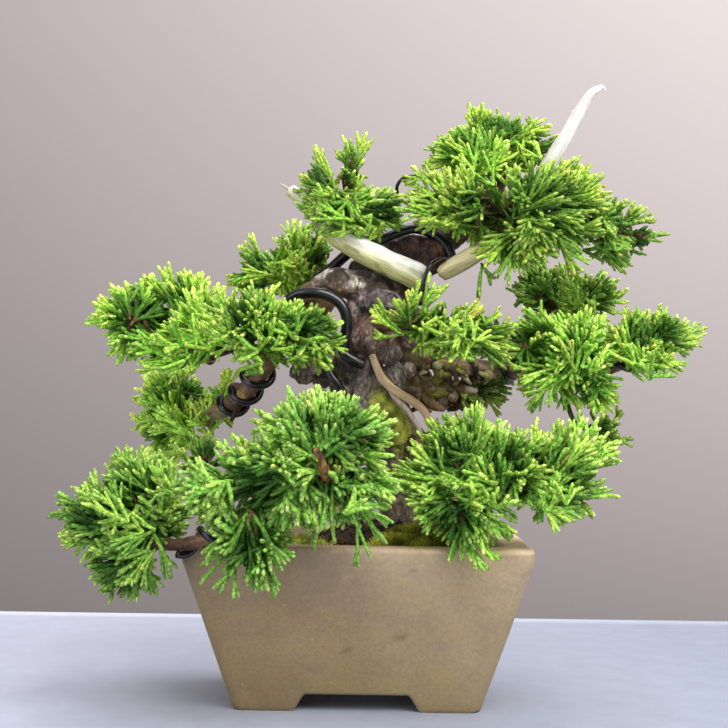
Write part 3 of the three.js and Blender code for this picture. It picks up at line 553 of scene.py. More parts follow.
FOLIAGE = {
    "foliage_apex_crown": [[39.5, 3, 219.2, 14.5, 15, 10.5], [55.9, 2, 224.9, 16.9, 17, 11.3], [68.9, 2, 219.4, 11.3, 14, 12.1]],
    "foliage_apex_front": [[44.6, -18, 192.8, 19.4, 17, 13.2], [68.4, -20, 194, 21.6, 20, 17.8], [86.1, -14, 186.9, 11.7, 15, 13.3], [59.4, -15, 181.7, 14, 13, 9.4]],
    "foliage_apex_right": [[101.3, -6, 188.1, 9.5, 12, 9.5], [110.1, -6, 183.4, 6.7, 10, 9.5]],
    "foliage_apex_rear": [[57, 35, 197, 20, 16, 14], [40, 32, 192, 13, 12, 10]],
    "foliage_upper_left": [[-7.2, -16, 193.5, 16.4, 14, 9.3], [8, -15, 191.9, 10.9, 12, 7.8], [-17.9, -16, 203.2, 6.6, 8, 9.3], [-4.8, -14, 209.2, 5.5, 7, 10.2]],
    "foliage_mid_left_rear": [[-44.8, 30, 171, 12.7, 14, 11], [-30.3, 26, 178.4, 11.8, 12, 12.6], [-19.6, 20, 179.6, 8.3, 9, 12.5]],
    "foliage_left_main": [[-90.8, -2, 149.8, 16.8, 18, 13.6], [-73.7, 4, 154.4, 17.8, 18, 14.9], [-62.3, 4, 148.9, 12.1, 15, 12.9]],
    "foliage_left_front": [[-41.5, -32, 146.4, 15.1, 16, 13.6], [-20.3, -33, 144, 14.3, 15, 12.3]],
    "foliage_left_low_rear": [[-78.8, 41, 118.1, 19.8, 14, 12.1], [-86.6, 43, 104.2, 12.1, 16, 13]],
    "foliage_left_far_low": [[-82.6, -42, 84.5, 14.1, 16, 12.6], [-96.8, -44, 73.4, 14.8, 16, 11.1], [-77.6, -44, 69.3, 12.5, 14, 10.3], [-86.8, -45, 55.3, 11.8, 13, 14.7]],
    "foliage_left_tuft": [[-58.2, -24, 92.9, 8.4, 8, 13]],
    "foliage_front_low": [[-8.7, -72, 105.5, 20.9, 20, 14.7], [-33.9, -72, 89.2, 16.7, 18, 15.3], [-36.8, -75, 65.8, 16.6, 15, 13.2], [-5, -70, 88.3, 18.2, 15, 9]],
    "foliage_right_low": [[35.3, -46, 97.4, 18.4, 19, 17.6], [55.7, -48, 93, 19, 21, 14.5], [76.8, -44, 91.3, 17, 18, 16.2], [35.7, -55, 76.2, 14.4, 13, 13.7]],
    "foliage_low_rear": [[51, 50, 91, 20, 16, 12], [31, 47, 97, 13, 13, 11], [66, 56, 95, 12, 13, 9]],
    "foliage_mid_front": [[19.5, -29, 147.6, 10.5, 9, 8.2], [32, -30, 146, 15.2, 11, 11.4], [46.6, -28, 143.3, 9.9, 9, 9.9]],
    "foliage_right_upper": [[77, 28, 164.9, 14.3, 13, 11], [96, 28, 162.7, 12.6, 13, 11]],
    "foliage_right_mid": [[69.8, -8, 140, 14.2, 14, 13.5], [86.2, -9, 136, 15, 15, 16.6], [90.9, -10, 124.6, 9.4, 11, 10.2]],
    "foliage_mid_rear": [[74, 53.2, 139, 17, 14, 11], [92, 50, 138, 12, 12, 10], [58, 48, 144, 10, 10, 8]],
    "foliage_right_far": [[108.9, -8, 143.5, 10.3, 12, 11.1], [120.7, -8, 145, 11.1, 13, 10.8]],
    "foliage_right_hanging": [[98.6, 4, 106.7, 8.1, 9, 8.1]],
    "foliage_under": [[46, 13, 121.5, 17, 8, 5.5]],
}
LIMB = {n: Curve(*d) for n, d in {**BRANCHES, **DEADWOOD}.items()}
TRUNK_CURVE = Curve(TRUNK, TRUNK_R)

# ---------------------------------------------------------------- pot
POT_H, HW, HD, BW, BD = 63.5, 65.0, 48.0, 47.0, 30.0
RIM, LIP_DROP, BAND = 10.3, 2.2, 6.5
FLOOR_UNDER, FLOOR_TOP = 6.7, 13.6


def wall_at(z):
    t = z / (POT_H - LIP_DROP - BAND)
    return BW + (HW - 0.8 - BW) * t, BD + (HD - 0.8 - BD) * t


def underside(x, y):
    """Height of the pot's underside: feet on the ground, channels between them."""
    def slope(lo, hi, q):
        t = np.clip((np.abs(q) - lo) / (hi - lo), 0, 1)
        return 1 - (0.5 * t + 0.5 * t * t * (3 - 2 * t))

    return FLOOR_UNDER * np.maximum(slope(19.0, 24.4, x), slope(9.6, 13.6, y))


def pot_piece():
    per = 44
    corner = 9

    def outline(hx, hy, r):
        """Points round a rounded rectangle, denser where the feet begin."""
        pts = []
        fx = np.concatenate([np.linspace(-1, -0.56, 12)[:-1], np.linspace(-0.56, -0.38, 10)[:-1], np.linspace(-0.38, 0.38, 16)[:-1], np.linspace(0.38, 0.56, 10)[:-1], np.linspace(0.56, 1, 12)])
        fy = np.concatenate([np.linspace(-1, -0.5, 8)[:-1], np.linspace(-0.5, -0.3, 8)[:-1], np.linspace(-0.3, 0.3, 10)[:-1], np.linspace(0.3, 0.5, 8)[:-1], np.linspace(0.5, 1, 8)])
        for cx, cy, q, f, horiz in ((1, -1, 3, fx, True), (1, 1, 0, fy, False), (-1, 1, 1, fx, True), (-1, -1, 2, fy, False)):
            side = f * ((hx - r) if horiz else (hy - r))
            if q == 3:
                line = [(s, -hy) for s in side]
            elif q == 0:
                line = [(hx, s) for s in side]
            elif q == 1:
                line = [(-s, hy) for s in side]
            else:
                line = [(-hx, -s) for s in side]
            pts += line
            for i in range(1, corner):
                a = (q + i / corner) * math.pi / 2
                pts.append((cx * (hx - r) + r * math.cos(a), cy * (hy - r) + r * math.sin(a)))
        return np.array(pts)

    rows = []

    def ring(hx, hy, r, z, tag):
        o = outline(hx, hy, max(r, 0.05))
        rows.append((o[:, 0], o[:, 1], np.full(len(o), z) if np.isscalar(z) else z, tag))

    # underside, from the middle outwards
    for f in np.linspace(0.02, 0.97, 26):
        hx, hy = wall_at(FLOOR_UNDER * 0.5)
        o = outline(hx * f, hy * f, 4.5 * f)
        rows.append((o[:, 0], o[:, 1], underside(o[:, 0], o[:, 1]), "under"))
    base = outline(*wall_at(0.0), 4.5)
    zb = underside(base[:, 0], base[:, 1])
    for k, lift in ((0.986, 0.0), (0.998, 0.45), (1.0, 1.1)):
        xs, ys = [], []
        for i in range(len(base)):
            hx, hy = wall_at(zb[i] + lift)
            xs.append(base[i, 0] * hx / BW * k)
            ys.append(base[i, 1] * hy / BD * k)
        rows.append((np.array(xs), np.array(ys), zb + lift, "edge"))
    top = POT_H - LIP_DROP - BAND
    for f in np.linspace(0.05, 1, 26):
        z = (zb + 1.1) * (1 - f) + top * f
        xs = base[:, 0] * np.array([wall_at(q)[0] for q in z]) / BW
        ys = base[:, 1] * np.array([wall_at(q)[1] for q in z]) / BD
        # the corners keep their radius
        o = np.stack([xs, ys], 1)
        rows.append((o[:, 0], o[:, 1], z, "wall"))
    hx0, hy0 = wall_at(top)
    for z, dx in ((top + 1.6, 0.32), (top + 3.4, 0.58), (POT_H - LIP_DROP, 0.8), (POT_H - 1.3, 0.7), (POT_H - 0.6, 0.25), (POT_H - 0.18, -0.4), (POT_H, -1.3)):
        ring(hx0 + dx, hy0 + dx, 4.5, z, "lip")
    for f in (0.3, 0.65, 0.93):
        d = -1.3 + f * (-(RIM - 0.8) + 1.3)
        ring(hx0 + 0.8 + d - 0.8, hy0 + 0.8 + d - 0.8, 4.5 + 3.5 * f, POT_H - 0.15 * f, "rim")
    ix, iy = HW - RIM, HD - RIM
    ring(ix + 0.12, iy + 0.12, 8, POT_H - 0.35, "rim")
    for z in np.linspace(POT_H - 1.2, FLOOR_TOP + 1.0, 12):
        t = (z - FLOOR_TOP) / (POT_H - FLOOR_TOP)
        ring(40.5 + (ix - 40.5) * t, 24 + (iy - 24) * t, 6 + 2 * t, float(z), "inner")
    for f in np.linspace(0.97, 0.02, 6):
        ring(40.5 * f, 24 * f, 6 * f, FLOOR_TOP, "inner")
    n = len(base)
    v, tag = [], []
    for x, y, z, t in rows:
        v.append(np.stack([x, y, z], 1))
        tag += [t] * n
    v = np.vstack(v)
    tag = np.array(tag)
    # slight unevenness of the hand-finished walls
    out = np.isin(tag, ["wall", "lip", "edge"])
    w = out * smooth(0.5, 6, v[:, 2])
    push = 0.28 * fbm(v, 26.0, 2, 3) * w
    nrm = np.where(np.abs(v[:, :1]) / HW > np.abs(v[:, 1:2]) / HD, np.array([[1.0, 0, 0]]) * np.sign(v[:, :1]), np.array([[0, 1.0, 0]]) * np.sign(v[:, 1:2]))
    v = v + nrm * push[:, None]
    v[:, 2] += np.isin(tag, ["lip", "rim"]) * 0.16 * fbm(v * [1, 1, 0], 22.0, 2, 9)
    v[:, 2] = np.minimum(v[:, 2], POT_H)
    quads = grid_quads(len(rows), n)
    c0 = np.array([[0, 0, FLOOR_UNDER], [0, 0, FLOOR_TOP]])
    N = len(v)
    s = np.arange(n)
    s2 = (s + 1) % n
    a = (len(rows) - 1) * n
    tris = np.vstack([np.stack([s2, s, np.full(n, N)], 1), np.stack([a + s, a + s2, np.full(n, N + 1)], 1)])
    v = np.vstack([v, c0])
    me = bpy.data.meshes.new("pot_tmp")
    me.from_pydata(v.tolist(), [], [tuple(map(int, f)) for f in quads] + [tuple(map(int, f)) for f in tris])
    bm = bmesh.new()
    bm.from_mesh(me)
    bmesh.ops.recalc_face_normals(bm, faces=bm.faces)
    bm.to_mesh(me)
    bm.free()
    ob = bpy.data.objects.new("pot_tmp", me)
    bpy.context.scene.collection.objects.link(ob)
    # the drainage and tie-down holes
    cutter = bpy.data.meshes.new("holes")
    bm = bmesh.new()
    for x, r in ((-27.5, 5.5), (27.5, 5.5), (-11, 3.1), (11, 3.1)):
        m = Matrix.Translation((x, 0, 10))
        bmesh.ops.create_cone(bm, cap_ends=True, segments=28, radius1=r, radius2=r, depth=16, matrix=m)
    bm.to_mesh(cutter)
    bm.free()
    holes = bpy.data.objects.new("holes", cutter)
    bpy.context.scene.collection.objects.link(holes)
    mod = ob.modifiers.new("b", "BOOLEAN")
    mod.operation, mod.solver, mod.object = "DIFFERENCE", "EXACT", holes
    out = apply_modifiers(ob)
    nv = len(out.vertices)
    co = np.empty(nv * 3, np.float32)
    out.vertices.foreach_get("co", co)
    co = co.reshape(-1, 3).astype(float)
    polys = [tuple(p.vertices) for p in out.polygons]
    bpy.data.objects.remove(ob)
    bpy.data.objects.remove(holes)
    b = Build()
    x, y, z = co.T
    col = np.array([0.33, 0.262, 0.17]) * np.ones((nv, 1))
    # warmer, browner and darker low on the left; painted light makes the upper right paler
    warm = smooth(0.1, 0.9, 0.55 - 0.004 * x - 0.008 * (z - 30) + 0.25 * fbm(co, 30.0, 2, 5))[:, None]
    col = col * (1 - warm) + np.array([0.285, 0.207, 0.108]) * warm
    painted_light_upper_right = (smooth(30, 58, z) * smooth(-15, 35, x))[:, None]
    col = col * (1 + np.array([0.3, 0.28, 0.27]) * painted_light_upper_right)
    # painted light: the right side a little brighter
    col = col * (1 + 0.12 * smooth(-10, 45, x)[:, None])
    low = smooth(28, 6, z)[:, None]
    col = col * (1 - np.array([0.12, 0.08, 0.1]) * low)
    # painted highlight along the lip, in patches
    lip = smooth(POT_H - 3.0, POT_H - 1.4, z)[:, None] * smooth(-0.5, 0.3, fbm(co, 9.0, 2, 8))[:, None]
    col = col * (1 + 0.3 * lip)
    # painted light on the rim top towards the right
    rim = (smooth(POT_H - 2.2, POT_H - 0.7, z) * smooth(-5, 40, x))[:, None]
    col = col * (1 + 0.6 * rim)
    # small pits and a fleck in the glaze of the front
    for px, py, size, shade in ((400, 637, 1.5, 0.35), (349, 650, 1.1, 0.45), (408, 568, 0.9, 0.6), (348, 575, 1.3, 1.35)):
        q = at_pixel(px, py, -BD - (HD - 0.8 - BD) * 0.5)
        spot = np.exp(-(((co[:, 0] - q[0]) ** 2 + (co[:, 2] - q[2]) ** 2) / size**2))[:, None] * (co[:, 1:2] < -20)
        col = col * (1 + (shade - 1) * spot)
    foot = (1 - smooth(0, 5, z))[:, None]
    col = col * (1 - 0.12 * foot)
    tz = (z - FLOOR_TOP) / (POT_H - FLOOR_TOP)
    inner = ((z > FLOOR_TOP - 0.5) & (np.abs(x) < 40.9 + 14.2 * tz) & (np.abs(y) < 24.4 + 13.7 * tz) & (z < POT_H - 1.5))[:, None]
    col = np.where(inner, col * 0.72, col)
    tris, quads, rest = [p for p in polys if len(p) == 3], [p for p in polys if len(p) == 4], [p for p in polys if len(p) > 4]
    for p in rest:
        tris += [(p[0], p[i], p[i + 1]) for i in range(1, len(p) - 1)]
    b.add(co, quads, tris, col)
    me = b.mesh("pot_body")
    bm = bmesh.new()
    bm.from_mesh(me)
    bmesh.ops.recalc_face_normals(bm, faces=bm.faces)
    bm.to_mesh(me)
    bm.free()
    bpy.data.meshes.remove(out)
    return finish_piece(me, "pot_body", MAT["pot"], "pot_ceramic", "pot")


pot_piece()


# ---------------------------------------------------------------- soil and moss
def mound(x, y, ball, base=57.0):
    """Top of a lump at (x, y), or base outside it."""
    cx, cy, cz, rx, ry, rz = ball
    d = 1 - ((x - cx) / rx) ** 2 - ((y - cy) / ry) ** 2
    return np.where(d > 0, np.maximum(cz + rz * np.sqrt(np.maximum(d, 0)), base), base)


SOIL_BALL = [16, 3, 54, 40, 28, 15.5]


def soil_height(x, y):
    p = np.stack([x, y, np.zeros_like(x)], -1)
    return mound(x, y, SOIL_BALL, 57.0) - 0.6 + 0.7 * fbm(p, 7.0, 3, 21)


def soil_piece():
    rng = np.random.default_rng(11)
    b = Build()
    t = (57.0 - FLOOR_TOP) / (POT_H - FLOOR_TOP)
    hx, hy = 40.5 + (54.7 - 40.5) * t - 0.15, 24 + (37.7 - 24) * t - 0.15
    nx, ny = 90, 62
    gx, gy = np.meshgrid(np.linspace(-1, 1, nx), np.linspace(-1, 1, ny))
    # squares folded to a rounded rectangle
    edge = np.maximum(np.abs(gx), np.abs(gy))
    x, y = gx * hx, gy * hy
    over = np.maximum(np.abs(x) - (hx - 7), 0), np.maximum(np.abs(y) - (hy - 7), 0)
    d = np.hypot(*over)
    k = np.where(d > 7, 7 / np.maximum(d, 1e-6), 1)
    x = np.sign(x) * (np.minimum(np.abs(x), hx - 7) + over[0] * k)
    y = np.sign(y) * (np.minimum(np.abs(y), hy - 7) + over[1] * k)
    z = soil_height(x, y) - 5 * (edge > 0.999)
    v = np.stack([x, y, z], -1).reshape(-1, 3)
    lum = fbm(v, 5.0, 3, 4)[:, None]
    col = np.array([0.030, 0.018, 0.011]) * (1 + 0.5 * lum)
    b.add(v, grid_quads(ny, nx, False), None, col)
    # grains
    bm = bmesh.new()
    bmesh.ops.create_icosphere(bm, subdivisions=1, radius=1)
    sv = np.array([q.co[:] for q in bm.verts])
    sf = np.array([[q.index for q in f.verts] for f in bm.faces])
    bm.free()
    n = 1500
    gx, gy = rng.uniform(-hx + 1.5, hx - 1.5, n), rng.uniform(-hy + 1.5, hy - 1.5, n)
    keep = ~((np.abs(gx) > hx - 6) & (np.abs(gy) > hy - 6) & (np.hypot(np.abs(gx) - hx + 6, np.abs(gy) - hy + 6) > 4.5))
    gx, gy = gx[keep], gy[keep]
    n = len(gx)
    r = rng.uniform(0.5, 1.0, n) + 0.9 * (rng.random(n) < 0.2) * rng.random(n)
    gz = soil_height(gx, gy) + r * 0.35
    kinds = np.array([[0.035, 0.02, 0.012], [0.06, 0.035, 0.018], [0.11, 0.062, 0.03], [0.02, 0.013, 0.009], [0.12, 0.1, 0.075]])
    which = rng.choice(5, n, p=[0.36, 0.28, 0.12, 0.2, 0.04])
    sc = r[:, None, None] * rng.uniform(0.75, 1.2, (n, 1, 3))
    jit = 1 + 0.22 * rng.uniform(-1, 1, (n, len(sv), 1))
    gv = np.stack([gx, gy, gz], 1)[:, None] + sv[None] * sc * jit
    gf = sf[None] + (np.arange(n) * len(sv))[:, None, None]
    gc = np.repeat(kinds[which] * rng.uniform(0.7, 1.35, (n, 1)), len(sv), 0)
    b.add(gv.reshape(-1, 3), None, gf.reshape(-1, 3), gc)
    # a few dead scales and twig bits lying on the soil
    m = 60
    px, py = rng.uniform(-hx + 6, hx - 6, m), rng.uniform(-hy + 5, hy - 5, m)
    for i in range(m):
        a = rng.uniform(0, 2 * math.pi)
        ln = rng.uniform(2, 6)
        p0 = np.array([px[i], py[i], float(soil_height(px[i : i + 1], py[i : i + 1])[0]) + 1.0])
        p1 = p0 + np.array([math.cos(a) * ln, math.sin(a) * ln, rng.uniform(-0.2, 0.6)])
        mid = (p0 + p1) / 2 + rng.uniform(-0.5, 0.5, 3)
        sv_, sq_, st_, _, _, _ = sweep(Curve([p0, mid, p1], [0.35, 0.4, 0.2], 4), 5, 4)
        b.add(sv_, sq_, st_, np.array([0.16, 0.09, 0.04]) * rng.uniform(0.6, 1.5))
    b.piece("soil_grains", MAT["soil"], "soil", "soil")


soil_piece()

MOSS = {
    "moss_front": [27, -20, 57, 26, 15.5, 12.5],
    "moss_left": [-28, -8, 56, 22, 24, 7.5],
    "moss_back": [8, 25, 57, 28, 12, 10.5],
}


def moss_piece(name, ball, tufts, seed):
    rng = np.random.default_rng(seed)
    cx, cy, cz, rx, ry, rz = ball
    b = Build()
    bm = bmesh.new()
    bmesh.ops.create_icosphere(bm, subdivisions=5 if name == "moss_front" else 4, radius=1)
    sv = np.array([q.co[:] for q in bm.verts])
    sf = np.array([[q.index for q in f.verts] for f in bm.faces])
    bm.free()
    keepf = (sv[sf][:, :, 2].max(1) > -0.25)
    sf = sf[keepf]
    hx, hy = 51.9, 34.9

    def shape(u):
        q = u * [rx, ry, rz]
        c = np.array([cx, cy, cz])
        f = 1 + 0.10 * fbm(q + c, 9.0, 2, seed) + 0.05 * fbm(q + c, 3.0, 2, seed + 2)
        p = c + q * f[..., None]
        p[..., 0] = np.clip(p[..., 0], -hx, hx)
        p[..., 1] = np.clip(p[..., 1], -hy, hy)
        return p

    v = shape(sv)
    used, inv = np.unique(sf, return_inverse=True)
    v = v[used]
    sf = inv.reshape(-1, 3)

    def tint(p):
        k = smooth(-0.35, 0.45, fbm(p, 7.0, 3, seed + 5))[:, None]
        s = smooth(-0.1, 0.55, fbm(p, 13.0, 2, seed + 9))[:, None]
        c = np.array([0.12, 0.14, 0.016]) * (1 - k) + np.array([0.6, 0.66, 0.075]) * k
        c = c * (1 - 0.5 * s) + np.array([0.06, 0.042, 0.015]) * 0.5 * s
        return c

    b.add(v, None, sf, tint(v) * 0.6)
    d = unit(rng.normal(size=(tufts * 2, 3)))
    d = d[d[:, 2] > -0.05][:tufts]
    p = shape(d)
    n = unit(d / [rx, ry, rz] + rng.normal(0, 0.02, d.shape))
    inside = (np.abs(p[:, 0]) < hx - 0.4) & (np.abs(p[:, 1]) < hy - 0.4)
    p, n = p[inside], n[inside]
    m = len(p)
    lean = unit(n + rng.normal(0, 0.45, (m, 3)) + [0, 0, 0.3])
    h = rng.uniform(0.8, 2.0, m)
    e1 = unit(np.cross(lean, rng.normal(size=(m, 3))))
    e2 = np.cross(lean, e1)
    r = rng.uniform(0.25, 0.45, m)
    ring = [p - lean * 0.3 + (e1 * math.cos(a) + e2 * math.sin(a)) * r[:, None] for a in (0, 2.094, 4.189)]
    tip = p + lean * h[:, None]
    tv = np.stack([*ring, tip], 1).reshape(-1, 3)
    base = (np.arange(m) * 4)[:, None]
    tf = np.concatenate([base + [0, 1, 3], base + [1, 2, 3], base + [2, 0, 3]])
    c = tint(p)
    cc = np.stack([c * 0.6, c * 0.6, c * 0.6, c * rng.uniform(1.2, 2.2, (m, 1)) + [0.02, 0.02, 0]], 1)
    b.add(tv, None, tf, cc.reshape(-1, 3))
    b.piece(name + "_tufts", MAT["moss"], "moss", name)


moss_piece("moss_front", MOSS["moss_front"], 5200, 31)
moss_piece("moss_left", MOSS["moss_left"], 2600, 32)
moss_piece("moss_back", MOSS["moss_back"], 2600, 33)


# ---------------------------------------------------------------- trunk
def nearest_on(curves, p):
    """For each point: which curve, its u, signed distance to the surface, and the angle and grain round it."""
    best = np.full(len(p), 1e9)
    out_u, out_k = np.zeros(len(p)), np.zeros(len(p), int)
    grain = np.zeros((len(p), 3))
    for k, c in enumerate(curves):
        m = 90
        pos, tan, nn, bb = c.frames(m)
        uu = np.linspace(0, 1, m + 1)
        rr = c.rad(uu)
        d = np.linalg.norm(p[:, None] - pos[None], axis=2)
        i = np.argmin(d, 1)
        sd = d[np.arange(len(p)), i] - rr[i]
        take = sd < best
        best[take] = sd[take]
        out_u[take] = uu[i][take]
        out_k[take] = k
        rel = p - pos[i]
        a = np.arctan2((rel * bb[i]).sum(1), (rel * nn[i]).sum(1))
        g = np.stack([np.cos(a) * rr[i], np.sin(a) * rr[i], uu[i] * c.length], 1)
        grain[take] = g[take]
    return out_k, out_u, best, grain


def lump_mesh(ball, sub=3):
    bm = bmesh.new()
    bmesh.ops.create_icosphere(bm, subdivisions=sub, radius=1)
    sv = np.array([q.co[:] for q in bm.verts])
    sf = np.array([[q.index for q in f.verts] for f in bm.faces])
    bm.free()
    q = sv * ball[3:]
    f = 1 + 0.14 * fbm(q + ball[:3], 6.0, 2, 41)
    return np.array(ball[:3]) + q * f[:, None], np.zeros((0, 4), int), sf


def relief(v, faces, nrm, rounds):
    """How far each vertex stands out of its smoothed surroundings: above 0 on ridges, below 0 in hollows."""
    q = np.array([f for f in faces if len(f) == 4], np.int64)
    e = np.vstack([q[:, [0, 1]], q[:, [1, 2]], q[:, [2, 3]], q[:, [3, 0]]])
    n = len(v)
    count = np.maximum(np.bincount(e[:, 0], minlength=n) + np.bincount(e[:, 1], minlength=n), 1)[:, None]
    s = v.copy()
    for _ in range(rounds):
        s = np.stack([np.bincount(e[:, 0], s[e[:, 1], k], n) + np.bincount(e[:, 1], s[e[:, 0], k], n) for k in range(3)], 1) / count
    return ((v - s) * nrm).sum(1)


def trunk_piece():
    curves = [TRUNK_CURVE, Curve(*LOBES), Curve(*SNAG)] + [Curve(r, ROOTS_R) for r in ROOTS] + [Curve(*LEADER)]
    parts = []

    def twist(u, th, p):
        return 1 + 0.06 * np.cos(3 * th + 22 * u) + 0.035 * np.cos(5 * th - 31 * u + 1) + 0.05 * fbm(p, 9.0, 2, 51)

    parts.append(sweep(TRUNK_CURVE, 28, 90, twist)[:3])
    parts.append(sweep(curves[1], 24, 30, lambda u, t, p: 1 + 0.07 * fbm(p, 7.0, 2, 52) - 0.12 * np.exp(-(((u - 0.52) / 0.06) ** 2)))[:3])
    parts.append(sweep(curves[2], 22, 30, lambda u, t, p: 1 + 0.22 * fbm(p, 4.5, 3, 53))[:3])
    for c in curves[3:]:
        parts.append(sweep(c, 14, 20, lambda u, t, p: 1 + 0.1 * fbm(p, 6.0, 2, 54))[:3])
    parts.append(lump_mesh(np.array(BURL)))
    parts.append(lump_mesh(np.array(LOWER_LOBE, float)))
    parts.append(lump_mesh(np.array(KNUCKLE, float)))
    # cords of live wood that wind up the trunk
    _, _, nn, bb = TRUNK_CURVE.frames(300)
    for j in range(5):
        u = np.linspace(0.03, 0.8, 14)
        k = np.round(u * 300).astype(int)
        a = 2 * math.pi * j / 5 + 5.5 * u + 0.4 * math.sin(j * 2.1)
        off = (np.cos(a)[:, None] * nn[k] + np.sin(a)[:, None] * bb[k]) * (TRUNK_CURVE.rad(u) * 0.62)[:, None]
        pts = TRUNK_CURVE.at(u) + off
        parts.append(sweep(Curve(pts, TRUNK_CURVE.rad(u) * (0.42 + 0.05 * math.sin(j)), 6), 12, 60)[:3])
    # knots on the trunk and short stubs round the snag
    for cx, cy, cz, rx, ry, rz in ((13, -6, 127, 5, 4.5, 6), (-8, -7, 120, 4.2, 3.6, 4.6), (-21, -6, 134, 3.6, 3, 3.2), (-26, -5, 128.5, 2.6, 2.4, 2.6),
                                   (17, -7, 151, 6.5, 5, 5.4), (24, 2, 149, 5.5, 5, 4), (10, -8.5, 136, 6, 4, 4.5), (23, 0, 160, 4, 4.2, 4), (-15, -3, 126, 4, 3, 3.4),
                                   (2, 4, 170.5, 8.5, 5, 5.5), (-3.5, -6, 152.5, 5.2, 4.6, 5.6), (17.5, 0.5, 131, 4.8, 4, 4.2),
                                   (20, -3, 141, 6, 5, 4)):
        parts.append(lump_mesh(np.array([cx, cy, cz, rx, ry, rz], float), 2))
    v, faces, nrm = remeshed(parts, 0.78)
    which, u, sd, grain = nearest_on(curves, v)
    g = grain * [1, 1, 0.14]
    burl = np.linalg.norm((v - BURL[:3]) / (np.array(BURL[3:]) * 1.12), axis=1)
    rough_zone = smooth(0.0, 0.25, np.where(which == 2, 0.3 + u, 0)) + smooth(1.1, 0.85, burl)
    smooth_zone = smooth(0.36, 0.42, u) * smooth(0.56, 0.5, u) * (which == 0)
    smooth_zone = np.maximum(smooth_zone, (which == 1) * 1.0)
    knuckle = np.linalg.norm((v - KNUCKLE[:3]) / (np.array(KNUCKLE[3:]) * 1.15), axis=1)
    under = np.linalg.norm((v - LOWER_LOBE[:3]) / (np.array(LOWER_LOBE[3:]) * 1.15), axis=1)
    rough = np.clip(rough_zone + smooth(1.15, 0.85, knuckle) + 0.5 * (which == 0) * smooth(0.56, 0.62, u), 0, 1)
    fibre = ridged(g, 1.7, 3, 61) * 0.62 * (1 - 0.6 * smooth_zone)
    flake = ridged(v * [1, 1, 0.7], 3.4, 3, 62) * 1.05 * rough
    v = v + nrm * (fibre + flake + 0.3 * fbm(v, 5.0, 2, 63))[:, None]
    v[:, 2] = np.maximum(v[:, 2], 36)
    # colours by zone
    n1 = smooth(-0.5, 0.5, fbm(v, 6.0, 3, 71))[:, None]
    n2 = smooth(-0.4, 0.5, fbm(g, 2.4, 3, 72))[:, None]
    base = np.array([0.175, 0.132, 0.08]) * (1 - n1) + np.array([0.36, 0.28, 0.18]) * n1
    upper = np.array([0.05, 0.024, 0.016]) * (1 - n2) + np.array([0.15, 0.07, 0.045]) * n2
    pale = np.array([0.19, 0.14, 0.11]) * (1 - n1) + np.array([0.52, 0.45, 0.37]) * n1
    n3 = smooth(-0.15, 0.3, fbm(v, 3.6, 3, 75))[:, None]
    # n4: pale patches, more of them on upward faces as painted highlight
    n4 = smooth(0.12, 0.42, fbm(v, 4.4, 3, 76) + 0.18 * nrm[:, 2])[:, None]
    lobe = np.array([0.045, 0.03, 0.018]) * (1 - n3) + np.array([0.27, 0.18, 0.1]) * n3
    lobe = lobe * (1 - n4) + np.array([0.52, 0.47, 0.4]) * n4
    snag = np.array([0.03, 0.02, 0.014]) * (1 - n2) + np.array([0.27, 0.2, 0.15]) * n2
    col = base
    t = smooth(0.3, 0.4, u)[:, None] * (which == 0)[:, None]
    col = col * (1 - t) + pale * t
    t = smooth(0.53, 0.6, u)[:, None] * (which == 0)[:, None]
    col = col * (1 - t) + upper * t
    t = (which == len(curves) - 1)[:, None] * 1.0
    col = col * (1 - t) + upper * t
    t = (which == 1)[:, None] * 1.0
    col = col * (1 - t) + lobe * t
    t = smooth(1.1, 0.85, under)[:, None]
    # purple-grey lower lobe, with pale patches that favour upward faces as painted highlight
    purple = np.array([0.07, 0.05, 0.048]) * (1 - n3) + np.array([0.3, 0.24, 0.24]) * n3
    purple = purple * (1 - 0.7 * n4) + np.array([0.45, 0.42, 0.4]) * 0.7 * n4
    col = col * (1 - t) + purple * t
    t = smooth(1.1, 0.85, knuckle)[:, None]
    col = col * (1 - t) + upper * t
    t = smooth(0.15, 0.5, u)[:, None] * (which == 2)[:, None]
    col = col * (1 - t) + snag * t
    t = smooth(1.15, 0.9, burl)[:, None]
    red = np.array([0.08, 0.04, 0.028]) * (1 - n2) + np.array([0.36, 0.23, 0.165]) * n2
    face = (smooth(1.0, 0.5, np.hypot((v[:, 0] + 0.5) / 6, (v[:, 2] - 141) / 7)) * (v[:, 1] < -8))[:, None] * smooth(-0.4, 0.3, fbm(v, 3.0, 2, 77))[:, None]
    red = red * (1 - 0.7 * face) + np.array([0.21, 0.185, 0.165]) * 0.7 * face
    col = col * (1 - t) + red * t
    # painted shade in the hollows of the bark and painted highlight on its ridges
    out = relief(v, faces, nrm, 6)
    col = col * (0.3 + 0.7 * smooth(-0.5, 0.12, out) + 0.55 * smooth(0.2, 0.75, out))[:, None]
    # painted shade of a hollow under the burl
    painted_hollow_shade = np.exp(-(((v[:, 0] + 4) / 8) ** 2 + ((v[:, 1] + 11) / 9) ** 2 + ((v[:, 2] - 130) / 6) ** 2))[:, None]
    col = col * (1 - 0.88 * painted_hollow_shade)
    # green-yellow moss film on the shaded flank, spreading from the climbing moss
    m = np.exp(-(((v[:, 0] - 13 + (v[:, 2] - 108) * 0.5) / 8) ** 2 + ((v[:, 2] - 108) / 15) ** 2)) * (nrm[:, 1] < 0.3)
    m = smooth(0.25, 0.6, m + 0.25 * fbm(v, 5.0, 3, 74))[:, None]
    col = col * (1 - m) + np.array([0.26, 0.29, 0.05]) * m
    # darker towards the soil line
    darker_low = smooth(72, 64, v[:, 2])[:, None] * 0.6
    col = col * (1 - darker_low) + np.array([0.035, 0.024, 0.014]) * darker_low
    b = Build()
    quads = [f for f in faces if len(f) == 4]
    tris = [f for f in faces if len(f) == 3]
    b.add(v, quads, tris, col, grain)
    b.piece("trunk_wood", MAT["trunk_bark"], "bark", "trunk")
    print("trunk", len(v))


trunk_piece()


